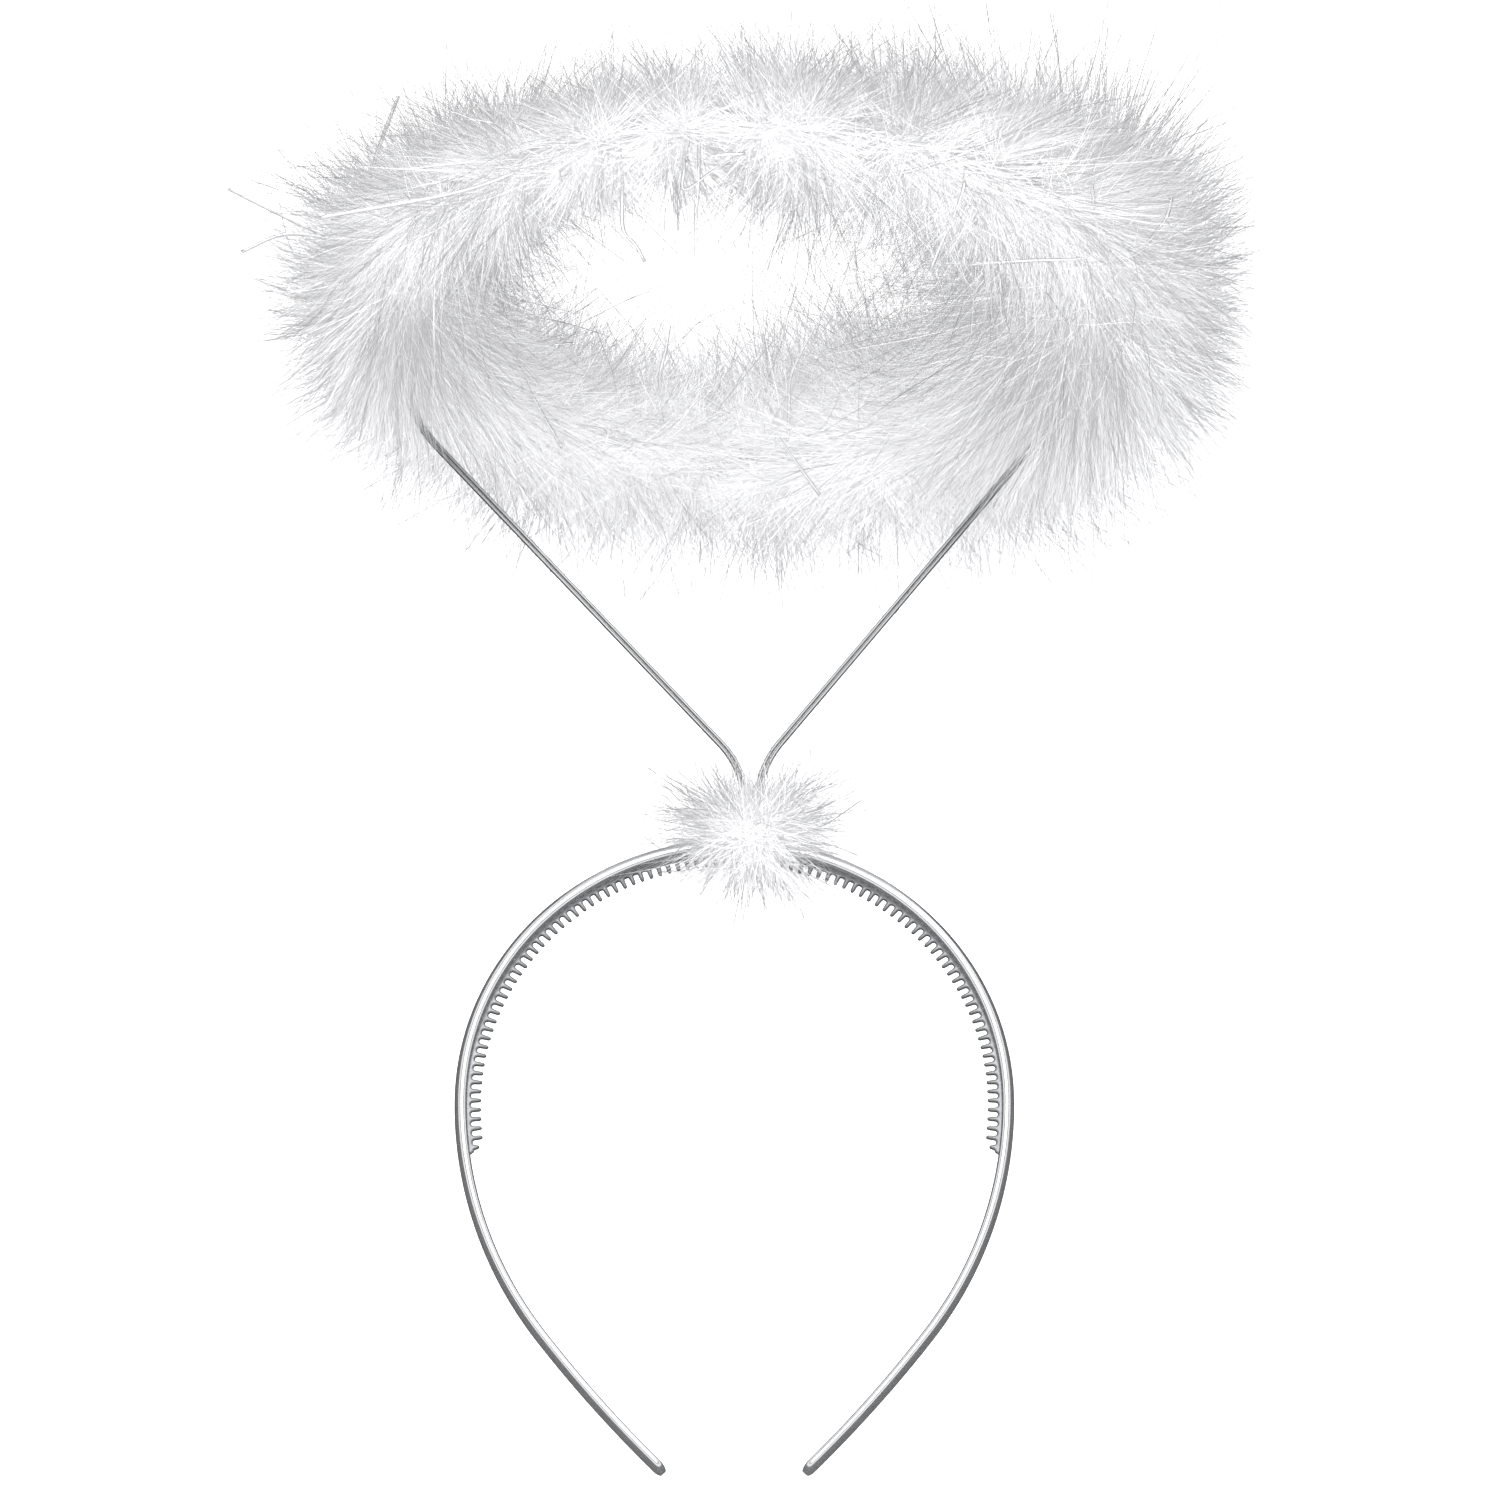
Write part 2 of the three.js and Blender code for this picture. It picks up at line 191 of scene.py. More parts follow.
def skin(rings):
    """Points and faces of a closed skin over rings of points."""
    rows, count = rings.shape[:2]
    return rings.reshape(-1, 3), [grid_faces(rows, count), cap_faces(rows, count)]


def corner_cut(points, rounds):
    """A closed outline with its corners cut into a smooth curve."""
    for _ in range(rounds):
        after = np.roll(points, -1, axis=0)
        points = np.stack([0.75 * points + 0.25 * after, 0.25 * points + 0.75 * after], 1)
        points = points.reshape(-1, points.shape[-1])
    return points


def sweep(path, section, side, twist=0.0):
    """A skin along a path. The section starts along side, and turns by the twist on its way."""
    tangents = unit(np.gradient(path, axis=0))
    rings = []
    for point, tangent, turn in zip(path, tangents, np.linspace(0, twist, len(path))):
        side = unit(side - tangent * np.dot(side, tangent))
        up = np.cross(tangent, side)
        first = side * math.cos(turn) + up * math.sin(turn)
        second = up * math.cos(turn) - side * math.sin(turn)
        rings.append(point + section[:, :1] * first + section[:, 1:] * second)
    return skin(np.array(rings))


def joined(parts):
    """Several point and face sets as one."""
    points, quads, triangles, total = [], [], [], 0
    for part_points, (part_quads, part_triangles) in parts:
        points.append(part_points)
        quads.append(part_quads + total)
        triangles.append(part_triangles + total)
        total += len(part_points)
    return np.concatenate(points), [np.concatenate(quads), np.concatenate(triangles)]


def round_section(radius, sides):
    """A round section, wound so that a sweep's faces point out."""
    angle = -np.arange(sides) * 2 * math.pi / sides
    return radius * np.stack([np.cos(angle), np.sin(angle)], -1)


def smooth_path(corners, spacing):
    """A Catmull-Rom curve through corner points, with a point at about each spacing."""
    corners = np.asarray(corners, float)
    padded = np.concatenate([[2 * corners[0] - corners[1]], corners, [2 * corners[-1] - corners[-2]]])
    points = []
    for before, start, end, after in zip(padded, padded[1:], padded[2:], padded[3:]):
        steps = max(2, int(np.linalg.norm(end - start) / spacing))
        share = np.arange(steps)[:, None] / steps
        points.append(
            0.5 * (2 * start + (end - before) * share
                   + (2 * before - 5 * start + 4 * end - after) * share**2
                   + (3 * start - before - 3 * end + after) * share**3)
        )
    return np.concatenate([*points, corners[-1:]])


# Band


def band_line(length):
    """Places and turns of the band's outer line at lengths from the crown, positive towards +X."""
    left = np.abs(length)
    turned = np.zeros_like(left)
    across = np.zeros_like(left)
    height = np.zeros_like(left)
    for radius, turn in BAND_ARCS:
        part = np.clip(left / radius, 0, turn)
        across += radius * (np.sin(turned + part) - np.sin(turned))
        height += radius * (np.cos(turned + part) - np.cos(turned))
        turned += part
        left = left - radius * part
    return across * np.sign(length), height, turned * np.sign(length)


def band_points(length, depth, aside):
    """Points at lengths along the band, depths from its outer line and places across it."""
    across, height, turned = band_line(length)
    aside = np.broadcast_to(aside, across.shape)
    return np.stack([across - depth * np.sin(turned), aside, height - depth * np.cos(turned)], -1)


# How far the band's tips round off, as shares of half their width and of their thickness
TIP_END = 0.999
TIP_THINNING = 0.35

# The comb's form: the last tooth's height, the roundness of the gaps' roots, the teeth's width at
# their tips and how deep the comb sits in the band, all as shares
LAST_TOOTH = 0.6
GAP_ROUNDNESS = 0.42
TOOTH_TAPER = 0.84
COMB_SEAT = 0.6

# The band's section as shares of its half width and its thickness
BAND_SECTION = np.array([
    (-0.80, 1.00), (-1.00, 0.78), (-0.99, 0.34), (-0.60, 0.03), (0.00, -0.02),
    (0.60, 0.03), (0.99, 0.34), (1.00, 0.78), (0.80, 1.00), (0.00, 1.00),
])


def band_skin(settings):
    """The plain band: a crowned section along the outer line, rounded off at both tips."""
    section = corner_cut(BAND_SECTION, 2)
    tip = settings.tip_width / 2
    body = BAND_HALF_LENGTH - tip
    stations = np.linspace(-body, body, 2 * int(body / settings.facet) + 1)
    ends = body + tip * np.sin(np.linspace(0, 0.5 * math.pi, 9)[1:]) * TIP_END
    stations = np.concatenate([-ends[::-1], stations, ends])
    share = np.abs(stations) / BAND_HALF_LENGTH
    past = np.maximum(0, np.abs(stations) - body) / tip
    width = (settings.width + (settings.tip_width - settings.width) * share) / 2
    width = width * np.sqrt(1 - past**2)
    thickness = BAND_THICKNESS + (settings.tip_thickness - BAND_THICKNESS) * share
    swell = 1 - TIP_THINNING * past**3
    rings = [
        band_points(
            np.full(len(section), station),
            (section[:, 1] - 0.5) * depth * thin + 0.5 * depth,
            section[:, 0] * half,
        )
        for station, half, depth, thin in zip(stations, width, thickness, swell)
    ]
    return skin(np.array(rings)[:, ::-1])


def comb_outline(settings):
    """The comb's edge as lengths and depths: round-ended teeth with round roots between them."""
    root = BAND_THICKNESS + settings.rib_height
    teeth = int(settings.comb_half_length / settings.tooth_pitch)
    reach = (teeth + 0.5) * settings.tooth_pitch + settings.comb_run_out
    gap = settings.tooth_pitch - settings.tooth_width
    lengths, depths = [], []
    for tooth in range(-teeth, teeth + 1):
        middle = tooth * settings.tooth_pitch
        tall = settings.tooth_length * (LAST_TOOTH if abs(tooth) == teeth else 1.0)
        for turn in np.linspace(0, math.pi / 2, 4):
            lengths.append(middle - settings.tooth_pitch / 2 + gap / 2 * math.sin(turn))
            depths.append(root + gap * GAP_ROUNDNESS * (1 - math.cos(turn)))
        narrow = settings.tooth_width * TOOTH_TAPER / 2
        for turn in np.linspace(-math.pi / 2, math.pi / 2, 6):
            lengths.append(middle + narrow * math.sin(turn))
            depths.append(root + tall - narrow * (1 - math.cos(turn)))
        for turn in np.linspace(math.pi / 2, 0, 4)[:-1]:
            lengths.append(middle + settings.tooth_pitch / 2 - gap / 2 * math.sin(turn))
            depths.append(root + gap * GAP_ROUNDNESS * (1 - math.cos(turn)))
    seat = np.linspace(reach, -reach, 2 * int(reach / settings.facet) + 1)
    lengths = np.concatenate([lengths, [(teeth + 0.5) * settings.tooth_pitch], seat])
    depths = np.concatenate([depths, [root], np.full(len(seat), BAND_THICKNESS * COMB_SEAT)])
    return lengths, depths


def comb_mesh(settings):
    """The comb as a filled and bevelled outline, turned into a mesh and laid in the frame."""
    lengths, depths = comb_outline(settings)
    outline = band_points(lengths, depths, 0.0)
    curve = bpy.data.curves.new("comb_outline", "CURVE")
    curve.dimensions = "2D"
    curve.fill_mode = "BOTH"
    curve.bevel_depth = settings.comb_bevel
    curve.bevel_resolution = 2
    curve.extrude = settings.comb_thickness / 2 - settings.comb_bevel
    curve.offset = -settings.comb_bevel
    spline = curve.splines.new("POLY")
    spline.points.add(len(outline) - 1)
    flat = np.stack([outline[:, 0], outline[:, 2], 0 * lengths, 1 + 0 * lengths], -1)
    spline.points.foreach_set("co", flat.ravel())
    spline.use_cyclic_u = True
    holder = bpy.data.objects.new("comb_outline", curve)
    bpy.context.scene.collection.objects.link(holder)
    graph = bpy.context.evaluated_depsgraph_get()
    mesh = bpy.data.meshes.new_from_object(holder.evaluated_get(graph))
    bpy.data.objects.remove(holder)
    bpy.data.curves.remove(curve)
    mesh.transform(LAY @ Matrix.Rotation(math.pi / 2, 4, "X"))
    return mesh


# Wires

WIRE_GAP = 0.07 * MILLIMETRE
STEM_TOP_GAP = 0.3 * MILLIMETRE


def stem_route(settings, side, slope):
    """One stem's middle line: up out of the clasp, along its slope, and up into the ring."""
    foot = settings.offset + side * settings.spacing / 2
    top = HALO_OFFSET + side * HALO_RADIUS
    shoulder = top - side * settings.shoulder_inset
    shoulder_height = settings.bend_height + abs(shoulder - foot) / math.tan(slope)
    corners = np.array([
        (foot, 0.0, settings.foot_height),
        (foot, 0.0, settings.bend_height),
        (shoulder, 0.0, shoulder_height),
        (top, 0.0, HALO_HEIGHT - RING_WIRE_RADIUS - STEM_TOP_GAP),
    ])
    points = [corners[0]]
    for before, corner, after in zip(corners, corners[1:], corners[2:]):
        start = corner + unit(before - corner) * settings.bend_radius
        end = corner + unit(after - corner) * settings.bend_radius
        points += list(np.linspace(points[-1], start, 8)[1:])
        for share in np.linspace(0, 1, 13)[1:]:
            points.append((1 - share) ** 2 * start + 2 * share * (1 - share) * corner + share**2 * end)
    points += list(np.linspace(points[-1], corners[-1], 8)[1:])
    return np.array(points)


def stem_skin(settings, side, slope):
    """The two wires of a stem, side by side along its route."""
    route = stem_route(settings, side, slope)
    tangents = unit(np.gradient(route, axis=0))
    aside = np.stack([tangents[:, 2], 0 * tangents[:, 1], -tangents[:, 0]], -1)
    radius = settings.wire_diameter / 2
    wires = []
    for hand in (-1, 1):
        path = route + hand * aside * (radius + WIRE_GAP / 2)
        wires.append(sweep(path, round_section(radius, 14), aside[0]))
    return joined(wires)


# Fur

# Where strands end, as shares of the reach: the dense fur's depth, the fringe and the longest
DENSE_DEPTH = (0.48, 0.38)
FRINGE_SHARE = 0.28
FRINGE_ENDS = (0.72, 1.05)
STRAY_ENDS = (1.0, 1.42)
LONGEST_END = 1.36

# How far the angles, leans and bends of the halo's strands differ, from tuft to tuft and in a tuft
ANGLE_SPREAD = 0.22
BURST_LEAN = 0.34
LEAN_SPREADS = (0.36, 0.26)
BEND_SPREADS = (0.26, 0.16)
TUFT_ENDS = (0.78, 1.18)
SHELL_SPREADS = (0.16, 0.05)
WAVE = 0.03

# The strands over the stems' upper ends hang down and inwards. They are coloured as if shorter: painted
# lighter, with more of the painted glow
COVER_TURNS = ((-0.3, 0.02), (math.pi - 0.02, math.pi + 0.3))
COVER_ANGLES = (-2.35, -1.45)
COVER_SHORTEST = 1.0
COVER_PAINTED_LIGHT_SHARE = 0.78

# The same spreads for the pompom, and the few wide strands in it
POMPOM_DIRECTION_SPREAD = 0.34
POMPOM_BEND_SPREADS = (0.34, 0.3)
POMPOM_TUFT_ENDS = (0.74, 1.2)
POMPOM_STRAYS = 0.06
WIDE_SHARE = 0.004
WIDE_WIDTH = 3.0


def ring_places(turn):
    """Points of the ring wire's middle at turns round the halo: 0 at +X, a quarter at the back."""
    back = HALO_RADIUS * np.sin(turn)
    return np.stack([
        HALO_OFFSET + HALO_RADIUS * np.cos(turn),
        back * math.cos(HALO_TILT),
        HALO_HEIGHT - back * math.sin(HALO_TILT),
    ], -1)


def ring_axes(turn):
    """Directions outwards, upwards and along the ring at turns round it."""
    level, tilt = math.cos(HALO_TILT), math.sin(HALO_TILT)
    flat = np.stack([np.cos(turn), np.sin(turn) * level, -np.sin(turn) * tilt], -1)
    up = np.broadcast_to((0.0, tilt, level), flat.shape)
    return flat, up, np.cross(up, flat)


def fur_reach(settings, turn, angle):
    """How far the fur's longer tips stand out from the wire: shorter and flatter at the front."""
    back = np.sin(turn)
    front = np.where(back < 0, back**2, 0.0)
    outwards = settings.side_reach + (settings.front_reach - settings.side_reach) * front
    upwards = settings.side_rise + (settings.front_rise - settings.side_rise) * front
    right = 1 + settings.right_growth * np.cos(turn)
    return right / np.hypot(np.cos(angle) / outwards, np.sin(angle) / upwards)


class Strands(NamedTuple):
    """Arrays with a row for each strand.

    Starts and ends are places out through the fur, from 0 to 1. Shells are normals of the fur's
    outside, by which the down is lit: it scatters light as a whole and not strand by strand.
    """

    roots: np.ndarray
    directions: np.ndarray
    lengths: np.ndarray
    bends: np.ndarray
    widths: np.ndarray
    starts: np.ndarray
    ends: np.ndarray
    tones: np.ndarray
    shells: np.ndarray


def end_shares(rng, count, stray):
    """Where strands end, as shares of the reach: most in the dense fur, some in a sparse fringe."""
    least, more = DENSE_DEPTH
    shares = least + more * rng.beta(2.0, 1.6, count)
    shares = np.where(rng.random(count) < FRINGE_SHARE, rng.uniform(*FRINGE_ENDS, count), shares)
    return np.where(rng.random(count) < stray, rng.uniform(*STRAY_ENDS, count), shares)


def trimmed(strands):
    """The strands, with those whose tips would stand too far outside the frame's box cut shorter."""
    low, high = (np.array(corner) for corner in cad_box)
    way = (strands.directions + strands.bends) @ np.array(LAY)[:3, :3].T
    limit = np.where(way > 0, high + FUR_MARGIN, low - FUR_MARGIN)
    room = ((limit - laid(strands.roots)) / way).min(axis=-1) * (0.88 + 0.12 * strands.tones)
    return strands._replace(lengths=np.minimum(strands.lengths, room))


def forked(rng, strands, share):
    """The strands, with a side branch past the middle of some of them."""
    strands = trimmed(strands)
    chosen = rng.random(len(strands.roots)) < share
    parent = Strands(*[values[chosen] for values in strands])
    place_on = rng.uniform(0.3, 0.7, len(parent.roots))
    on = place_on[:, None]
    branch = Strands(
        parent.roots + parent.lengths[:, None] * (parent.directions * on + parent.bends * on**2),
        unit(parent.directions + 2 * parent.bends * on + rng.normal(0, 0.2, parent.roots.shape)),
        parent.lengths * (1 - place_on) * rng.uniform(0.6, 1.0, len(place_on)),
        parent.bends,
        parent.widths * 0.8,
        parent.starts + (parent.ends - parent.starts) * place_on,
        parent.ends,
        parent.tones,
        parent.shells,
    )
    return Strands(*[np.concatenate(pair) for pair in zip(strands, branch)])


def strand_ribbons(rng, strands, segments):
    """Tapered ribbons, one a strand: points, faces and a map of place in the fur and tone."""
    strands = trimmed(strands)
    count = len(strands.roots)
    share = np.linspace(0, 1, segments + 1)[None, :, None]
    wave = unit(rng.normal(size=(count, 3)))[:, None, :] * rng.normal(0, WAVE, (count, 1, 1))
    middle = strands.roots[:, None, :] + strands.lengths[:, None, None] * (
        strands.directions[:, None, :] * share
        + strands.bends[:, None, :] * share**2
        + wave * np.sin(share * 2 * math.pi * rng.uniform(0.6, 1.3, (count, 1, 1))) * share
    )
    middle = laid(middle)
    over = middle[..., 2] - FLOOR_CLEARANCE
    middle[..., 2] = FLOOR_CLEARANCE + FLOOR_SOFTNESS * np.logaddexp(0, over / FLOOR_SOFTNESS)
    tangents = unit(middle[:, -1] - middle[:, 0])
    aside = unit(np.cross(tangents, rng.normal(size=(count, 3))))[:, None, :]
    taper = (1 - share[:, :-1]) ** 0.6 * (0.55 + 0.45 * np.minimum(1, share[:, :-1] * 5))
    half = strands.widths[:, None, None] / 2 * taper
    pairs = np.stack([middle[:, :-1] - aside * half, middle[:, :-1] + aside * half], 2)
    points = np.concatenate([pairs.reshape(count, -1, 3), middle[:, -1:]], 1)
    points[..., 2] = np.maximum(points[..., 2], FLOOR_CLEARANCE / 2)
    each = 2 * segments + 1
    base = np.arange(count) * each
    quads = np.concatenate([
        np.stack([base + 2 * step, base + 2 * step + 1, base + 2 * step + 3, base + 2 * step + 2], -1)
        for step in range(segments - 1)
    ])
    last = base + 2 * segments
    tips = np.stack([last - 2, last - 1, last], -1)
    along = np.append(np.repeat(share[0, :-1, 0], 2), 1.0)
    out = strands.starts[:, None] + (strands.ends - strands.starts)[:, None] * along
    strand = np.stack([out.ravel(), np.repeat(strands.tones, each)], -1)
    shell = np.repeat(unit(strands.shells) @ np.array(LAY)[:3, :3].T, each, axis=0)
    return points.reshape(-1, 3), [quads, tips], strand, shell


def near(rng, tuft_values, owner, loose):
    """A value for each strand: its tuft's own, with a little of its own added."""
    return tuft_values[owner] + rng.normal(0, loose, (len(owner), *tuft_values.shape[1:]))


def shell_noise(rng, tufts, owner):
    """How far the strands' shells are turned from their own way out, tuft by tuft."""
    between, within = SHELL_SPREADS
    return near(rng, rng.normal(0, between, (tufts, 3)), owner, within)


def burst_place(settings, turn):
    """How far turns lie from the middle of their burst of feathers, from -1 to 1 across it."""
    uneven = turn + 0.05 * np.sin(3 * turn + 1) + 0.03 * np.sin(7 * turn)
    return 2 * ((uneven * settings.bursts / (2 * math.pi)) % 1) - 1


def halo_strands(settings, rng, count, tufts, turns, angles, shortest=0.0):
    """Strands between two turns and two angles round the wire, in tufts that fan out of bursts."""
    owner = rng.integers(0, tufts, count)
    tuft_turn = rng.uniform(*turns, tufts)
    aside = burst_place(settings, tuft_turn)
    turn = near(rng, tuft_turn, owner, settings.tuft_width / HALO_RADIUS)
    angle = near(rng, rng.uniform(*angles, tufts), owner, ANGLE_SPREAD)
    lean = near(rng, BURST_LEAN * aside + rng.normal(0, LEAN_SPREADS[0], tufts), owner, LEAN_SPREADS[1])
    bends = near(rng, rng.normal(0, BEND_SPREADS[0], (tufts, 3)), owner, BEND_SPREADS[1])
    outward, up, along = ring_axes(turn)
    radial = outward * np.cos(angle)[:, None] + up * np.sin(angle)[:, None]
    reach = fur_reach(settings, turn, angle)
    uneven = 0.05 * np.sin(5 * tuft_turn + 2) + 0.05 * np.sin(13 * tuft_turn)
    uneven = uneven + 0.04 * np.sin(31 * tuft_turn)
    tuft_ends = rng.uniform(*TUFT_ENDS, tufts) + uneven - 0.1 * aside**2
    ends = end_shares(rng, count, settings.stray_share) * near(rng, tuft_ends, owner, 0.02)
    ends = np.clip(ends, shortest, LONGEST_END)
    starts = rng.uniform(0.02, settings.core_share, count)
    pull = 0.5 * math.pi / settings.bursts * aside[owner]
    return Strands(
        roots=ring_places(turn - pull) + radial * (starts * reach)[:, None],
        directions=unit(radial + along * lean[:, None]),
        lengths=reach * (ends - starts) * np.sqrt(1 + 0.7 * np.minimum(np.abs(lean), 0.7) ** 2),
        bends=bends - np.array((0.0, 0.0, settings.droop)) * (1 - 0.8 * np.cos(turn))[:, None],
        widths=rng.uniform(0.6, 1.1, count) * settings.strand_width,
        starts=starts,
        ends=ends,
        tones=np.clip(0.5 * rng.random(tufts)[owner] + 0.5 * rng.random(count), 0, 1),
        shells=radial + shell_noise(rng, tufts, owner) + 0.2 * along * lean[:, None],
    )


def halo_fur(settings, rng, number):
    """One quarter of the halo's fur."""
    count = int(settings.strands / 4 * (1.0))
    first = (number - 0.5) * math.pi / 2
    fur = halo_strands(settings, rng, count, settings.tufts // 4, (first, first + math.pi / 2),
                       (0, 2 * math.pi))
    return strand_ribbons(rng, forked(rng, fur, settings.forks), settings.segments)


def stem_cover_fur(settings, rng):
    """Long strands of the halo that hang in front of both stems' upper ends."""
    count = int(settings.stem_cover * (1.0))
    tufts = settings.stem_cover // settings.cover_tuft
    sides = [
        halo_strands(settings, rng, count, tufts, turns, COVER_ANGLES, shortest=COVER_SHORTEST)
        for turns in COVER_TURNS
    ]
    fur = Strands(*[np.concatenate(pair) for pair in zip(*sides)])
    # Painted light: the cover's ends are scaled down so its strands are coloured lighter and glow more.
    fur = fur._replace(ends=COVER_PAINTED_LIGHT_SHARE * fur.ends)
    return strand_ribbons(rng, forked(rng, fur, settings.forks), settings.segments)


def down_core_skin(settings):
    """The dense down round the ring wire: a lumpy ring that the strands grow through."""
    turns, sides = 360, 36
    turn, angle = np.meshgrid(np.arange(turns) * 2 * math.pi / turns,
                              np.arange(sides) * 2 * math.pi / sides, indexing="ij")
    lumps = 1 + 0.10 * np.sin(11 * turn + 3 * angle) + 0.08 * np.sin(29 * turn - 2 * angle)
    lumps = lumps + 0.06 * np.sin(53 * turn + 5 * angle)
    reach = fur_reach(settings, turn, angle) * settings.core_share * lumps
    outward, up, _ = ring_axes(turn)
    points = ring_places(turn) + reach[..., None] * (
        outward * np.cos(angle)[..., None] + up * np.sin(angle)[..., None])
    row, column = np.meshgrid(np.arange(turns), np.arange(sides), indexing="ij")
    here = row * sides + column
    beside = row * sides + (column + 1) % sides
    ahead = (row + 1) % turns * sides
    quads = np.stack([here, ahead + column, ahead + (column + 1) % sides, beside], -1)
    return points.reshape(-1, 3), [quads.reshape(-1, 4)]


def pompom_reach(settings, direction):
    """The pompom's reach in a direction: two lobes aside, and a dip on top where the stems go in."""
    half = np.array((settings.pompom_length, settings.pompom_depth, settings.pompom_height)) / 2
    reach = 1 / np.linalg.norm(direction / half, axis=-1)
    top = np.exp(-((direction[..., 0] / 0.45) ** 2)) * np.maximum(direction[..., 2], 0)
    return reach * (1 - settings.pompom_dip * top)


def pompom_strands(settings, rng):
    """The pompom's strands, in tufts that burst from the crown's clasp over and under the band."""
    count = int(settings.pompom_strands * (1.0))
    tufts = settings.pompom_tufts
    owner = rng.integers(0, tufts, count)
    direction = unit(near(rng, unit(rng.normal(size=(tufts, 3))), owner, POMPOM_DIRECTION_SPREAD))
    reach = pompom_reach(settings, direction)
    ends = end_shares(rng, count, POMPOM_STRAYS)
    ends = ends * near(rng, rng.uniform(*POMPOM_TUFT_ENDS, tufts), owner, 0.08)
    starts = rng.uniform(0.05, 0.3, count)
    middle = np.array((settings.pompom_offset, 0.0, settings.pompom_rise))
    wide = np.where(rng.random(count) < WIDE_SHARE, WIDE_WIDTH, 1.0)
    strands = Strands(
        roots=middle + direction * (reach * starts)[:, None] + rng.normal(0, 1.0 * MILLIMETRE, (count, 3)),
        directions=direction,
        lengths=np.maximum(reach * (ends - starts), 2 * MILLIMETRE),
        bends=near(rng, rng.normal(0, POMPOM_BEND_SPREADS[0], (tufts, 3)), owner, POMPOM_BEND_SPREADS[1]),
        widths=rng.uniform(0.6, 1.1, count) * settings.strand_width * wide,
        starts=starts,
        ends=ends,
        tones=np.clip(0.5 * rng.random(tufts)[owner] + 0.5 * rng.random(count), 0, 1),
        shells=direction + shell_noise(rng, tufts, owner),
    )
    return strand_ribbons(rng, forked(rng, strands, settings.forks), settings.segments)


def pompom_core_skin(settings):
    """The dense down in the middle of the pompom."""
    middle = np.array((settings.pompom_offset, 0.0, settings.pompom_rise))
    rings, sides = 25, 40
    tilt, turn = np.meshgrid(np.linspace(0.05, math.pi - 0.05, rings),
                             np.arange(sides) * 2 * math.pi / sides, indexing="ij")
    lumps = 1 + 0.12 * np.sin(5 * turn + 4 * tilt) * np.sin(3 * tilt) + 0.07 * np.sin(9 * turn - 6 * tilt)
    way = np.stack([np.cos(tilt), np.sin(tilt) * np.cos(turn), np.sin(tilt) * np.sin(turn)], -1)
    return skin(middle + way * (pompom_reach(settings, way) * settings.core_share * lumps)[..., None])


# Tinsel

# Bare strips of tinsel in the fur, by their places in the photograph: across and up from the
# band's crown in millimetres as seen. Each runs from the ring's wire on its branch, the back one
# being the lower in the picture, through its points to a free end.
TINSEL_STRIPS = (
    ("back", ((-76.9, 119.5), (-88, 134), (-99.6, 148.8))),
    ("back", ((-47.4, 105.8), (-71.4, 107.4), (-98.9, 107))),
    ("back", ((-44.6, 99.8), (-55.4, 122.3), (-54.9, 144.3))),
    ("back", ((-55.4, 122.3), (-48, 124.4), (-41.1, 125))),
    ("back", ((-70.4, 106), (-80, 102.5), (-88.6, 96.5))),
    ("back", ((10.4, 102), (16, 94), (21.4, 86.5))),
    ("back", ((68.1, 124), (70.8, 132), (72.9, 140.5))),
    ("back", ((68.1, 124), (66.9, 112), (66.1, 101))),
    ("back", ((63.4, 112), (60, 103.5), (56.1, 95.5))),
    ("back", ((79.9, 121), (94.6, 124), (116.6, 126.8))),
    ("back", ((94.6, 124), (101, 128.6), (106.6, 132.3))),
    ("back", ((89.1, 119), (95, 115.4), (101.1, 111.5))),
    ("back", ((13.9, 115.8), (17, 123), (20.4, 129.5))),
    ("back", ((46.9, 110.3), (49, 113), (51.6, 116.8))),
    ("back", ((-19.1, 116.8), (-17.6, 123), (-16.4, 129.5))),
    ("back", ((-63.1, 147.8), (-78.6, 143.3), (-90.6, 141.5))),
    ("back", ((-64.9, 136), (-61.6, 145), (-58.4, 153.3))),
    ("front", ((89.1, 147.8), (74, 147), (59.1, 145.8))),
    ("front", ((-85.1, 143.3), (-78.6, 162.5), (-69.4, 177.3))),
    ("front", ((-94.1, 152.5), (-91.6, 170), (-85.1, 188.3))),
    ("front", ((-94, 149), (-108.6, 155), (-128.1, 164.8))),
    ("front", ((-94, 150), (-112.6, 153.3), (-124.9, 148.8))),
    ("front", ((-56.6, 169), (-72.1, 164), (-105.1, 158))),
    ("front", ((-11.6, 172.5), (-4, 174), (2.9, 174.5))),
    ("front", ((-12.6, 165.3), (-5, 170.5), (2.1, 174.5))),
    ("front", ((-8.9, 167), (-9.4, 159), (-9.4, 151.5))),
    ("front", ((-28.1, 155.3), (-25, 151.4), (-22.6, 147))),
    ("front", ((57.9, 165.3), (54, 155), (49.6, 145))),
    ("front", ((90.9, 167), (96, 172), (101.1, 176.3))),
    ("front", ((97.4, 148.8), (105, 150.6), (113.9, 151.5))),
    ("front", ((107.1, 154.5), (109.4, 158), (110.6, 162.8))),
)


def picture_point(settings, across, rise, depth):
    """The upright point that shows at a place in the photograph and a depth towards the camera."""
    sight = MILLIMETRE * (across * VIEW_RIGHT + rise * VIEW_UP)
    camera = settings.camera_distance * VIEW_BACK
    return camera + (sight - camera) * (1 - depth / settings.camera_distance)


def tinsel_route(settings, stage, branch, places):
    """One strip's middle line: from the ring wire out through the fur and along its surface."""
    side = 1 if branch == "back" else -1
    cosine = np.clip((places[0][0] * MILLIMETRE - HALO_OFFSET) / HALO_RADIUS, -0.999, 0.999)
    turn = side * math.acos(cosine)
    root = ring_places(np.array(turn))
    lift = settings.tinsel_lift * fur_reach(settings, np.array(turn), math.pi / 2)
    depth = float(root @ VIEW_BACK) + lift
    seen = [picture_point(stage, across, rise, depth) for across, rise in places]
    return smooth_path([root, 0.4 * root + 0.6 * seen[0] + 0.2 * lift * VIEW_BACK, *seen], 1.5 * MILLIMETRE)


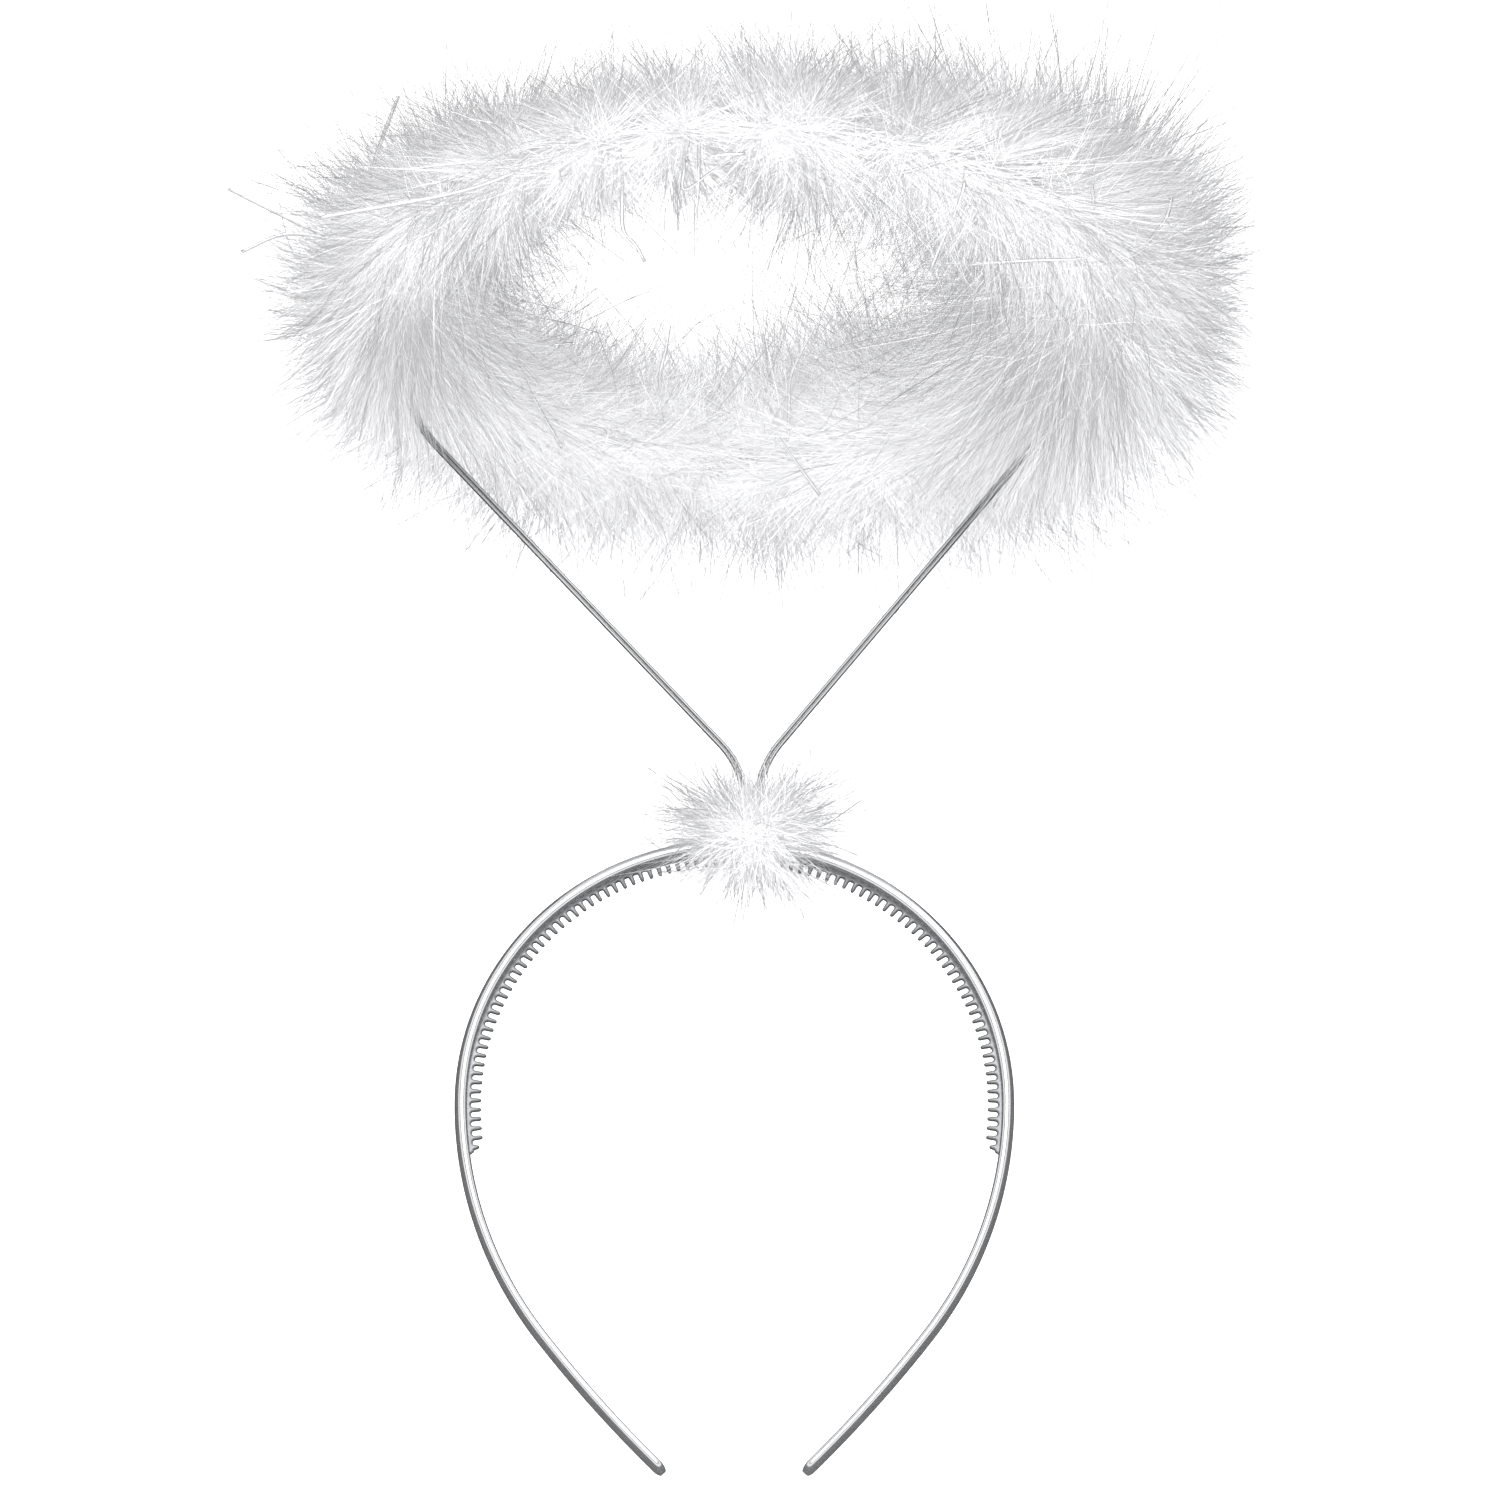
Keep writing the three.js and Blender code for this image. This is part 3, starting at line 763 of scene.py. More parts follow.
def wound_tinsel_route(settings, start, end, phase):
    """A strip wound round the ring's fur between two turns."""
    turn = np.linspace(start, end, 60)
    angle = phase + (turn - start) * settings.tinsel_winds
    outward, up, _ = ring_axes(turn)
    reach = fur_reach(settings, turn, angle) * settings.tinsel_depth
    return ring_places(turn) + reach[:, None] * (
        outward * np.cos(angle)[:, None] + up * np.sin(angle)[:, None])


def tinsel_section(settings):
    """The section of a flat strip of film."""
    half, thin = settings.tinsel_width / 2, settings.tinsel_width / 16
    return np.array([(-half, 0.0), (0.0, thin), (half, 0.0), (0.0, -thin)])


# Materials


def new_group(name, inputs, outputs):
    """A shader node group with named sockets, and its input and output nodes."""
    group = bpy.data.node_groups.new(name, "ShaderNodeTree")
    for socket, kind, value in inputs:
        item = group.interface.new_socket(socket, in_out="INPUT", socket_type=kind)
        item.default_value = value
    for socket, kind in outputs:
        group.interface.new_socket(socket, in_out="OUTPUT", socket_type=kind)
    return group, group.nodes.new("NodeGroupInput"), group.nodes.new("NodeGroupOutput")


def strand_tone_group():
    """Colour greyed from root to tip as painted shade, a random tone for each strand, and a painted glow.
    """
    group, given, result = new_group("Strand Tone", [
        ("Root", "NodeSocketColor", (1, 1, 1, 1)),
        ("Tip", "NodeSocketColor", (0.8, 0.8, 0.8, 1)),
        ("Fade", "NodeSocketFloat", 1.5),
        ("Variation", "NodeSocketFloat", 0.1),
    ], [("Color", "NodeSocketColor"), ("Painted Glow", "NodeSocketColor"), ("Normal", "NodeSocketVector")])
    nodes, links = group.nodes, group.links
    strand = nodes.new("ShaderNodeUVMap")
    strand.uv_map = "strand"
    split = nodes.new("ShaderNodeSeparateXYZ")
    links.new(strand.outputs["UV"], split.inputs[0])
    # Painted shade: the down is white, and its colour greys from root to tip out through the fur.
    fade = nodes.new("ShaderNodeMath")
    fade.operation = "POWER"
    links.new(split.outputs["X"], fade.inputs[0])
    links.new(given.outputs["Fade"], fade.inputs[1])
    mix = nodes.new("ShaderNodeMix")
    mix.data_type = "RGBA"
    links.new(fade.outputs[0], mix.inputs["Factor"])
    links.new(given.outputs["Root"], mix.inputs["A"])
    links.new(given.outputs["Tip"], mix.inputs["B"])
    darker = nodes.new("ShaderNodeMath")
    darker.operation = "MULTIPLY"
    links.new(split.outputs["Y"], darker.inputs[0])
    links.new(given.outputs["Variation"], darker.inputs[1])
    own = nodes.new("ShaderNodeMath")
    own.operation = "SUBTRACT"
    own.inputs[0].default_value = 1.0
    links.new(darker.outputs[0], own.inputs[1])
    tone = nodes.new("ShaderNodeVectorMath")
    tone.operation = "SCALE"
    links.new(mix.outputs["Result"], tone.inputs[0])
    links.new(own.outputs[0], tone.inputs["Scale"])
    # Painted glow: the strand's own colour is emitted, stronger near the root, standing in for light
    # scattered through the down.
    inside = nodes.new("ShaderNodeMath")
    inside.operation = "MULTIPLY_ADD"
    inside.use_clamp = True
    inside.inputs[1].default_value = -0.35
    inside.inputs[2].default_value = 1.0
    links.new(fade.outputs[0], inside.inputs[0])
    glow = nodes.new("ShaderNodeVectorMath")
    glow.operation = "SCALE"
    links.new(tone.outputs[0], glow.inputs[0])
    links.new(inside.outputs[0], glow.inputs["Scale"])
    links.new(tone.outputs[0], result.inputs["Color"])
    links.new(glow.outputs[0], result.inputs["Painted Glow"])
    shell = nodes.new("ShaderNodeAttribute")
    shell.attribute_name = "shell"
    turned = nodes.new("ShaderNodeVectorTransform")
    turned.vector_type = "NORMAL"
    turned.convert_from = "OBJECT"
    turned.convert_to = "WORLD"
    links.new(shell.outputs["Vector"], turned.inputs[0])
    links.new(turned.outputs[0], result.inputs["Normal"])
    return group


def surface_grain_group():
    """Fine unevenness of a finish: a mask of it, a roughness and a normal."""
    group, given, result = new_group("Surface Grain", [
        ("Scale", "NodeSocketFloat", 400.0),
        ("Stretch", "NodeSocketFloat", 1.0),
        ("Smooth", "NodeSocketFloat", 0.15),
        ("Rough", "NodeSocketFloat", 0.3),
        ("Depth", "NodeSocketFloat", 0.05),
    ], [("Mask", "NodeSocketFloat"), ("Roughness", "NodeSocketFloat"), ("Normal", "NodeSocketVector")])
    nodes, links = group.nodes, group.links
    place_node = nodes.new("ShaderNodeTexCoord")
    stretch = nodes.new("ShaderNodeCombineXYZ")
    stretch.inputs["X"].default_value = 1.0
    stretch.inputs["Z"].default_value = 1.0
    links.new(given.outputs["Stretch"], stretch.inputs["Y"])
    scaled = nodes.new("ShaderNodeVectorMath")
    scaled.operation = "MULTIPLY"
    links.new(place_node.outputs["Object"], scaled.inputs[0])
    links.new(stretch.outputs[0], scaled.inputs[1])
    noise = nodes.new("ShaderNodeTexNoise")
    noise.inputs["Detail"].default_value = 4.0
    links.new(scaled.outputs[0], noise.inputs["Vector"])
    links.new(given.outputs["Scale"], noise.inputs["Scale"])
    rough = nodes.new("ShaderNodeMapRange")
    rough.inputs["From Min"].default_value = 0.3
    rough.inputs["From Max"].default_value = 0.7
    links.new(noise.outputs["Fac"], rough.inputs["Value"])
    links.new(given.outputs["Smooth"], rough.inputs["To Min"])
    links.new(given.outputs["Rough"], rough.inputs["To Max"])
    bump = nodes.new("ShaderNodeBump")
    bump.inputs["Distance"].default_value = 0.1 * MILLIMETRE
    links.new(given.outputs["Depth"], bump.inputs["Strength"])
    links.new(noise.outputs["Fac"], bump.inputs["Height"])
    links.new(noise.outputs["Fac"], result.inputs["Mask"])
    links.new(rough.outputs["Result"], result.inputs["Roughness"])
    links.new(bump.outputs["Normal"], result.inputs["Normal"])
    return group


def shared(name, maker):
    """A node group by name, built the first time it is asked for."""
    return bpy.data.node_groups.get(name) or maker()


def new_material(name):
    """A node material with only its shader and output, and the shader."""
    material = bpy.data.materials.new(name)
    material.use_nodes = True
    return material, material.node_tree.nodes["Principled BSDF"]


def add_group(material, group, **values):
    """Places a shared group in a material with its own values."""
    node = material.node_tree.nodes.new("ShaderNodeGroup")
    node.node_tree = group
    for socket, value in values.items():
        node.inputs[socket].default_value = value
    return node


def metal_finish(name, colour, metallic, coat, **grain):
    """A bright metal or metal-coated finish with grain in its gloss."""
    material, shader = new_material(name)
    node = add_group(material, shared("Surface Grain", surface_grain_group), **grain)
    links = material.node_tree.links
    shade = material.node_tree.nodes.new("ShaderNodeMix")
    shade.data_type = "RGBA"
    shade.inputs["A"].default_value = (*[0.9 * part for part in colour], 1)
    shade.inputs["B"].default_value = (*colour, 1)
    links.new(node.outputs["Mask"], shade.inputs["Factor"])
    links.new(shade.outputs["Result"], shader.inputs["Base Color"])
    links.new(node.outputs["Roughness"], shader.inputs["Roughness"])
    links.new(node.outputs["Normal"], shader.inputs["Normal"])
    shader.inputs["Metallic"].default_value = metallic
    shader.inputs["Coat Weight"].default_value = coat
    return material


def marabou_finish(name, settings, tip_colour):
    """White down greyed from root to tip as painted shade, each strand a little different, with a painted
    glow.
    """
    material, shader = new_material(name)
    node = add_group(
        material, shared("Strand Tone", strand_tone_group),
        Root=(*settings.root_colour, 1), Tip=(*tip_colour, 1), Fade=1.8, Variation=0.1)
    material.node_tree.links.new(node.outputs["Color"], shader.inputs["Base Color"])
    # The down glows with painted light: its emission stands in for light scattered through the fur.
    material.node_tree.links.new(node.outputs["Painted Glow"], shader.inputs["Emission Color"])
    material.node_tree.links.new(node.outputs["Normal"], shader.inputs["Normal"])
    shader.inputs["Emission Strength"].default_value = settings.glow
    material.cycles.emission_sampling = "NONE"
    shader.inputs["Roughness"].default_value = 0.8
    shader.inputs["Specular IOR Level"].default_value = 0.15
    shader.inputs["Sheen Weight"].default_value = 0.2
    return material


def down_core_finish(name, settings):
    """The dense down under the strands: grey as painted shade, with a soft uneven nap and a faint painted
    glow.
    """
    material, shader = new_material(name)
    node = add_group(material, shared("Surface Grain", surface_grain_group),
                     Scale=900.0, Smooth=0.85, Rough=1.0, Depth=1.0)
    links = material.node_tree.links
    # The core's grey is painted shade for the fur round it; the mix adds a random nap.
    shade = material.node_tree.nodes.new("ShaderNodeMix")
    shade.data_type = "RGBA"
    shade.inputs["A"].default_value = (*[0.9 * part for part in settings.core_colour], 1)
    shade.inputs["B"].default_value = (*settings.core_colour, 1)
    links.new(node.outputs["Mask"], shade.inputs["Factor"])
    links.new(shade.outputs["Result"], shader.inputs["Base Color"])
    links.new(node.outputs["Roughness"], shader.inputs["Roughness"])
    links.new(node.outputs["Normal"], shader.inputs["Normal"])
    # Painted glow: the dense down emits its own colour, as if passing on scattered light.
    material.node_tree.links.new(shade.outputs["Result"], shader.inputs["Emission Color"])
    shader.inputs["Emission Strength"].default_value = settings.painted_core_glow
    material.cycles.emission_sampling = "NONE"
    shader.inputs["Specular IOR Level"].default_value = 0.1
    return material


# Settings


def length_setting(name, description, millimetres):
    """A length property, given in millimetres and kept in metres."""
    return FloatProperty(name=name, description=description, default=millimetres * MILLIMETRE,
                         min=0.0, precision=5, subtype="DISTANCE", unit="LENGTH")


class HeadbandSettings(bpy.types.PropertyGroup):
    """Sizes of the band and its comb."""

    width: length_setting("Width", "Width of the band at its crown", 7.0)
    tip_width: length_setting("Tip width", "Width of the band at its tips", 5.6)
    tip_thickness: length_setting("Tip thickness", "Thickness of the band at its tips", 2.7)
    facet: length_setting("Facet", "Length of the steps along the band", 1.6)
    rib_height: length_setting("Rib height", "Height of the comb's rib off the inner face", 0.4)
    comb_half_length: length_setting("Comb half length", "From the crown to the comb's end", 123.4)
    comb_run_out: length_setting("Comb run-out", "Length in which the rib fades at its ends", 1.0)
    comb_thickness: length_setting("Comb thickness", "Thickness of the comb", 1.2)
    comb_bevel: length_setting("Comb bevel", "Rounding of the comb's edges", 0.5)
    tooth_pitch: length_setting("Tooth pitch", "From tooth to tooth along the outer line", 2.61)
    tooth_length: length_setting("Tooth length", "Length of a tooth off the rib", 2.65)
    tooth_width: length_setting("Tooth width", "Width of a tooth at its root", 1.3)
    colour: FloatVectorProperty(name="Colour", description="Colour of the silver coat",
                                default=(0.58, 0.585, 0.6), subtype="COLOR")
    # The comb's colour is a darker copy of the silver coat: painted shade for the comb under the band.
    shaded_comb_colour: FloatVectorProperty(name="Comb colour", description="Colour of the comb's thinner coat",
                                     default=(0.24, 0.245, 0.255), subtype="COLOR")


class StemSettings(bpy.types.PropertyGroup):
    """Sizes of the two doubled wires."""

    wire_diameter: length_setting("Wire", "Diameter of each of a stem's two wires", 1.01)
    offset: length_setting("Offset", "Middle of the stems, aside from the band's middle", 4.25)
    spacing: length_setting("Spacing", "Distance between the stems at their feet", 3.6)
    foot_height: length_setting("Foot", "Height of the stems' feet over the crown", 1.4)
    bend_height: length_setting("Bend", "Height of the first bend over the crown", 19.7)
    bend_radius: length_setting("Bend length", "How far each bend reaches along the wire", 9.0)
    shoulder_inset: length_setting("Shoulder", "How far inside the ring the upper bend lies", 8.0)
    left_slope: FloatProperty(name="Left slope", description="Angle of the left stem from upright",
                              default=math.radians(41.5), subtype="ANGLE", unit="ROTATION")
    right_slope: FloatProperty(name="Right slope", description="Angle of the right stem from upright",
                               default=math.radians(38.2), subtype="ANGLE", unit="ROTATION")
    colour: FloatVectorProperty(name="Colour", description="Colour of the steel",
                                default=(0.32, 0.325, 0.33), subtype="COLOR")


class FurSettings(bpy.types.PropertyGroup):
    """Sizes and colours of the marabou fur and its tinsel."""

    side_reach: length_setting("Reach", "Reach of the fur outwards at the sides and back", 47.0)
    front_reach: length_setting("Front reach", "Reach of the fur outwards at the front", 27.0)
    side_rise: length_setting("Rise", "Reach of the fur upwards at the sides and back", 41.5)
    front_rise: length_setting("Front rise", "Reach of the fur upwards at the front", 27.5)
    right_growth: FloatProperty(name="Right growth", description="How much longer the fur is on the right",
                                default=0.19)
    core_share: FloatProperty(name="Core", description="Size of the dense down as a share of the reach",
                              default=0.17, min=0.0, max=1.0)
    strands: IntProperty(name="Strands", description="Strands of fur in the halo", default=92000, min=0)
    segments: IntProperty(name="Segments", description="Steps along a strand", default=4, min=2)
    tufts: IntProperty(name="Tufts", description="Tufts that the halo's strands fan out from",
                       default=5200, min=1)
    tuft_width: length_setting("Tuft width", "Spread of a tuft's roots along the ring", 1.8)
    bursts: IntProperty(name="Bursts", description="Bursts of feathers round the halo", default=24, min=1)
    stem_cover: IntProperty(name="Stem cover", description="Strands over each stem's upper end",
                            default=5000, min=18)
    cover_tuft: IntProperty(name="Cover tuft", description="Strands to a tuft over the stems",
                            default=18, min=1)
    forks: FloatProperty(name="Forks", description="Share of the strands with a side branch",
                         default=0.15, min=0.0, max=1.0)
    droop: FloatProperty(name="Droop", description="How far the strands bend down", default=0.05)
    stray_share: FloatProperty(name="Strays", description="Share of the strands that stand far out",
                               default=0.07, min=0.0, max=1.0)
    strand_width: length_setting("Strand width", "Width of a strand near its root", 0.31)
    pompom_strands: IntProperty(name="Pompom strands", description="Strands of fur in the pompom",
                                default=8500, min=0)
    pompom_tufts: IntProperty(name="Pompom tufts", description="Tufts in the pompom",
                              default=760, min=1)
    pompom_length: length_setting("Pompom length", "Length of the pompom along the band", 58.0)
    pompom_depth: length_setting("Pompom depth", "Depth of the pompom", 40.0)
    pompom_height: length_setting("Pompom height", "Height of the pompom", 38.0)
    pompom_dip: FloatProperty(name="Pompom dip", description="Depth of the dip on top, as a share",
                              default=0.5, min=0.0, max=1.0)
    pompom_offset: length_setting("Pompom offset", "Pompom's middle aside from the band's", 4.4)
    pompom_rise: length_setting("Pompom rise", "Pompom's middle over the crown", 2.6)
    tinsel_width: length_setting("Tinsel width", "Width of a strip of tinsel", 1.0)
    tinsel_lift: FloatProperty(name="Tinsel lift", description="Height of free strips in the fur",
                               default=0.98, min=0.0)
    tinsel_depth: FloatProperty(name="Tinsel depth", description="Depth of wound strips in the fur",
                                default=0.4, min=0.0)
    tinsel_winds: FloatProperty(name="Tinsel winds", description="Winds of a strip for each turn",
                                default=5.0)
    tinsel_twist: FloatProperty(name="Tinsel twist", description="Most that a strip turns on its way",
                                default=9.0, subtype="ANGLE", unit="ROTATION")
    # Strength of the fur's painted glow, an emission that stands in for light scattered from strand to
    # strand.
    glow: FloatProperty(name="Painted Glow", description="Light that the down passes on from strand to strand",
                        default=0.78, min=0.0)
    # The dense down's glow is painted light, and its grey colour is painted shade; the down itself is
    # white.
    painted_core_glow: FloatProperty(name="Core glow", description="Light that the dense down passes on",
                             default=0.05, min=0.0)
    core_colour: FloatVectorProperty(name="Core colour", description="Colour of the dense down",
                                     default=(0.66, 0.66, 0.67), subtype="COLOR")
    # The grey from the roots' colour to the tips' colours is painted shade; the down itself is white.
    root_colour: FloatVectorProperty(name="Root colour", description="Colour of the down at its roots",
                                     default=(0.94, 0.94, 0.95), subtype="COLOR")
    tip_colour: FloatVectorProperty(name="Tip colour", description="Colour of the halo's down at its tips",
                                    default=(0.57, 0.57, 0.59), subtype="COLOR")
    pompom_tip_colour: FloatVectorProperty(name="Pompom tips", description="Colour of the pompom's tips",
                                           default=(0.7, 0.7, 0.72), subtype="COLOR")


class StageSettings(bpy.types.PropertyGroup):
    """The camera, the floor and the light."""

    camera_distance: FloatProperty(name="Distance", description="Camera's distance from the crown",
                                   default=2.2, subtype="DISTANCE", unit="LENGTH")
    frame_width: FloatProperty(name="Frame width", description="Width seen at the crown",
                               default=0.3795, subtype="DISTANCE", unit="LENGTH")
    frame_across: FloatProperty(name="Across", description="Frame's middle right of the crown",
                                default=0.0039, subtype="DISTANCE", unit="LENGTH")
    frame_up: FloatProperty(name="Up", description="Frame's middle above the crown",
                            default=0.0230, subtype="DISTANCE", unit="LENGTH")
    key_power: FloatProperty(name="Key light", description="Power of the large upper light",
                             default=5.0, subtype="POWER", unit="POWER")
    front_power: FloatProperty(name="Front light", description="Power of the light from the photographer",
                               default=27.0, subtype="POWER", unit="POWER")
    low_power: FloatProperty(name="Low light", description="Power of the light from below the halo",
                             default=15.0, subtype="POWER", unit="POWER")
    table_glow: FloatProperty(name="Table glow", description="Light that comes up through the table",
                              default=0.9, min=0.0)
    sky_strength: FloatProperty(name="Sky", description="Strength of the studio in reflections",
                                default=1.6, min=0.0)
    sky_softness: FloatProperty(name="Soft sky", description="Strength of the studio on dull surfaces",
                                default=0.6, min=0.0)


class HaloSettings(bpy.types.PropertyGroup):
    """All settings of the halo headband."""

    headband: PointerProperty(type=HeadbandSettings)
    stems: PointerProperty(type=StemSettings)
    fur: PointerProperty(type=FurSettings)
    stage: PointerProperty(type=StageSettings)


# Operators


class HALO_OT_headband(bpy.types.Operator):
    """Make the silver band and its comb"""

    bl_idname = "halo.headband"
    bl_label = "Headband"

    def execute(self, context):
        settings = context.scene.halo.headband
        finish = metal_finish("silver_plastic", settings.colour, 0.9, 0.4,
                              Scale=260.0, Smooth=0.12, Rough=0.26, Depth=0.08)
        points, faces = band_skin(settings)
        place("headband_shell", array_mesh("headband_shell", laid(points), faces),
              finish, ["headband"])
        # The comb has the band's finish in a darker colour, as painted shade.
        shaded_comb_finish = metal_finish("silver_comb_painted_shade", settings.shaded_comb_colour, 0.9, 0.4,
                                   Scale=260.0, Smooth=0.3, Rough=0.42, Depth=0.08)
        place("headband_comb", comb_mesh(settings), shaded_comb_finish, ["headband"])
        clasp = frame["nodes"]["crown_clasp"]
        clasp.data.materials.clear()
        clasp.data.materials.append(finish)
        return {"FINISHED"}


class HALO_OT_stems(bpy.types.Operator):
    """Make the two doubled wire stems"""

    bl_idname = "halo.stems"
    bl_label = "Stems"

    def execute(self, context):
        settings = context.scene.halo.stems
        finish = metal_finish("steel_wire", settings.colour, 1.0, 0.0,
                              Scale=500.0, Stretch=0.08, Smooth=0.05, Rough=0.12, Depth=0.08)
        for name, side, slope in (("left_stem", -1, settings.left_slope),
                                  ("right_stem", 1, settings.right_slope)):
            points, faces = stem_skin(settings, side, slope)
            mesh = array_mesh(name + "_wires", laid(points), faces)
            place(name + "_wires", mesh, finish, [name])
        ring = frame["nodes"]["ring_wire"]
        ring.data.materials.clear()
        ring.data.materials.append(finish)
        return {"FINISHED"}


class HALO_OT_halo_fur(bpy.types.Operator):
    """Make the halo's marabou fur, with its cover over the stems, and the dense down inside it"""

    bl_idname = "halo.halo_fur"
    bl_label = "Halo fur"

    def execute(self, context):
        settings = context.scene.halo.fur
        finish = marabou_finish("marabou", settings, settings.tip_colour)
        points, faces = down_core_skin(settings)
        place("halo_down", array_mesh("halo_down", laid(points), faces),
              down_core_finish("down", settings), ["halo_fur"])
        for number, name in enumerate(("right", "back", "left", "front")):
            fur = halo_fur(settings, np.random.default_rng(20 + number), number)
            mesh = array_mesh("halo_fur_" + name, *fur)
            place("halo_fur_" + name, mesh, finish, ["halo_fur"])
        mesh = array_mesh("halo_fur_cover", *stem_cover_fur(settings, np.random.default_rng(30)))
        place("halo_fur_cover", mesh, finish, ["halo_fur"])
        return {"FINISHED"}


class HALO_OT_pompom(bpy.types.Operator):
    """Make the pompom's fur round the crown"""

    bl_idname = "halo.pompom"
    bl_label = "Pompom"

    def execute(self, context):
        settings = context.scene.halo.fur
        finish = marabou_finish("marabou_pompom", settings, settings.pompom_tip_colour)
        mesh = array_mesh("pompom_fur", *pompom_strands(settings, np.random.default_rng(7)))
        place("pompom_fur", mesh, finish, ["pompom"])
        points, faces = pompom_core_skin(settings)
        place("pompom_down", array_mesh("pompom_down", laid(points), faces),
              down_core_finish("pompom_down", settings), ["pompom"])
        return {"FINISHED"}


class HALO_OT_tinsel(bpy.types.Operator):
    """Make the bare strips of tinsel in the fur"""

    bl_idname = "halo.tinsel"
    bl_label = "Tinsel"

    def execute(self, context):
        settings, stage = context.scene.halo.fur, context.scene.halo.stage
        finish = metal_finish("tinsel", (0.95, 0.95, 0.96), 0.55, 0.3,
                              Scale=700.0, Smooth=0.1, Rough=0.25, Depth=0.1)
        rng = np.random.default_rng(3)
        section = tinsel_section(settings)
        routes = [tinsel_route(settings, stage, *strip) for strip in TINSEL_STRIPS]
        for start in np.linspace(0, 2 * math.pi, 7)[:-1]:
            routes.append(wound_tinsel_route(settings, start, start + 1.3, rng.uniform(0, 6)))
        strips = [
            sweep(route, section, unit(rng.normal(size=3)), rng.uniform(-1, 1) * settings.tinsel_twist)
            for route in routes
        ]
        points, faces = joined(strips)
        place("tinsel", array_mesh("tinsel", laid(points), faces), finish)
        return {"FINISHED"}


# Brightness of the studio round the object by height: from straight down (-1) to overhead (1)
SKY_TONES = (
    (-1.0, 0.08),
    (-0.4, 0.1),
    (0.36, 0.12),
    (0.47, 0.2),
    (0.54, 1.0),
    (0.75, 1.0),
    (0.85, 0.5),
    (0.965, 0.45),
    (0.98, 3.0),
    (1.0, 3.0),
)


def add_light(name, direction, distance, size, power):
    """A soft square light that shines on the crown from an upright direction."""
    light = bpy.data.lights.new(name, "AREA")
    light.size = size
    light.energy = power
    lamp = bpy.data.objects.new(name, light)
    bpy.context.scene.collection.objects.link(lamp)
    turned = (LAY.to_3x3() @ Vector(direction)).normalized()
    lamp.location = LAY.translation + turned * distance
    lamp.rotation_mode = "QUATERNION"
    lamp.rotation_quaternion = turned.to_track_quat("Z", "Y")
    return lamp


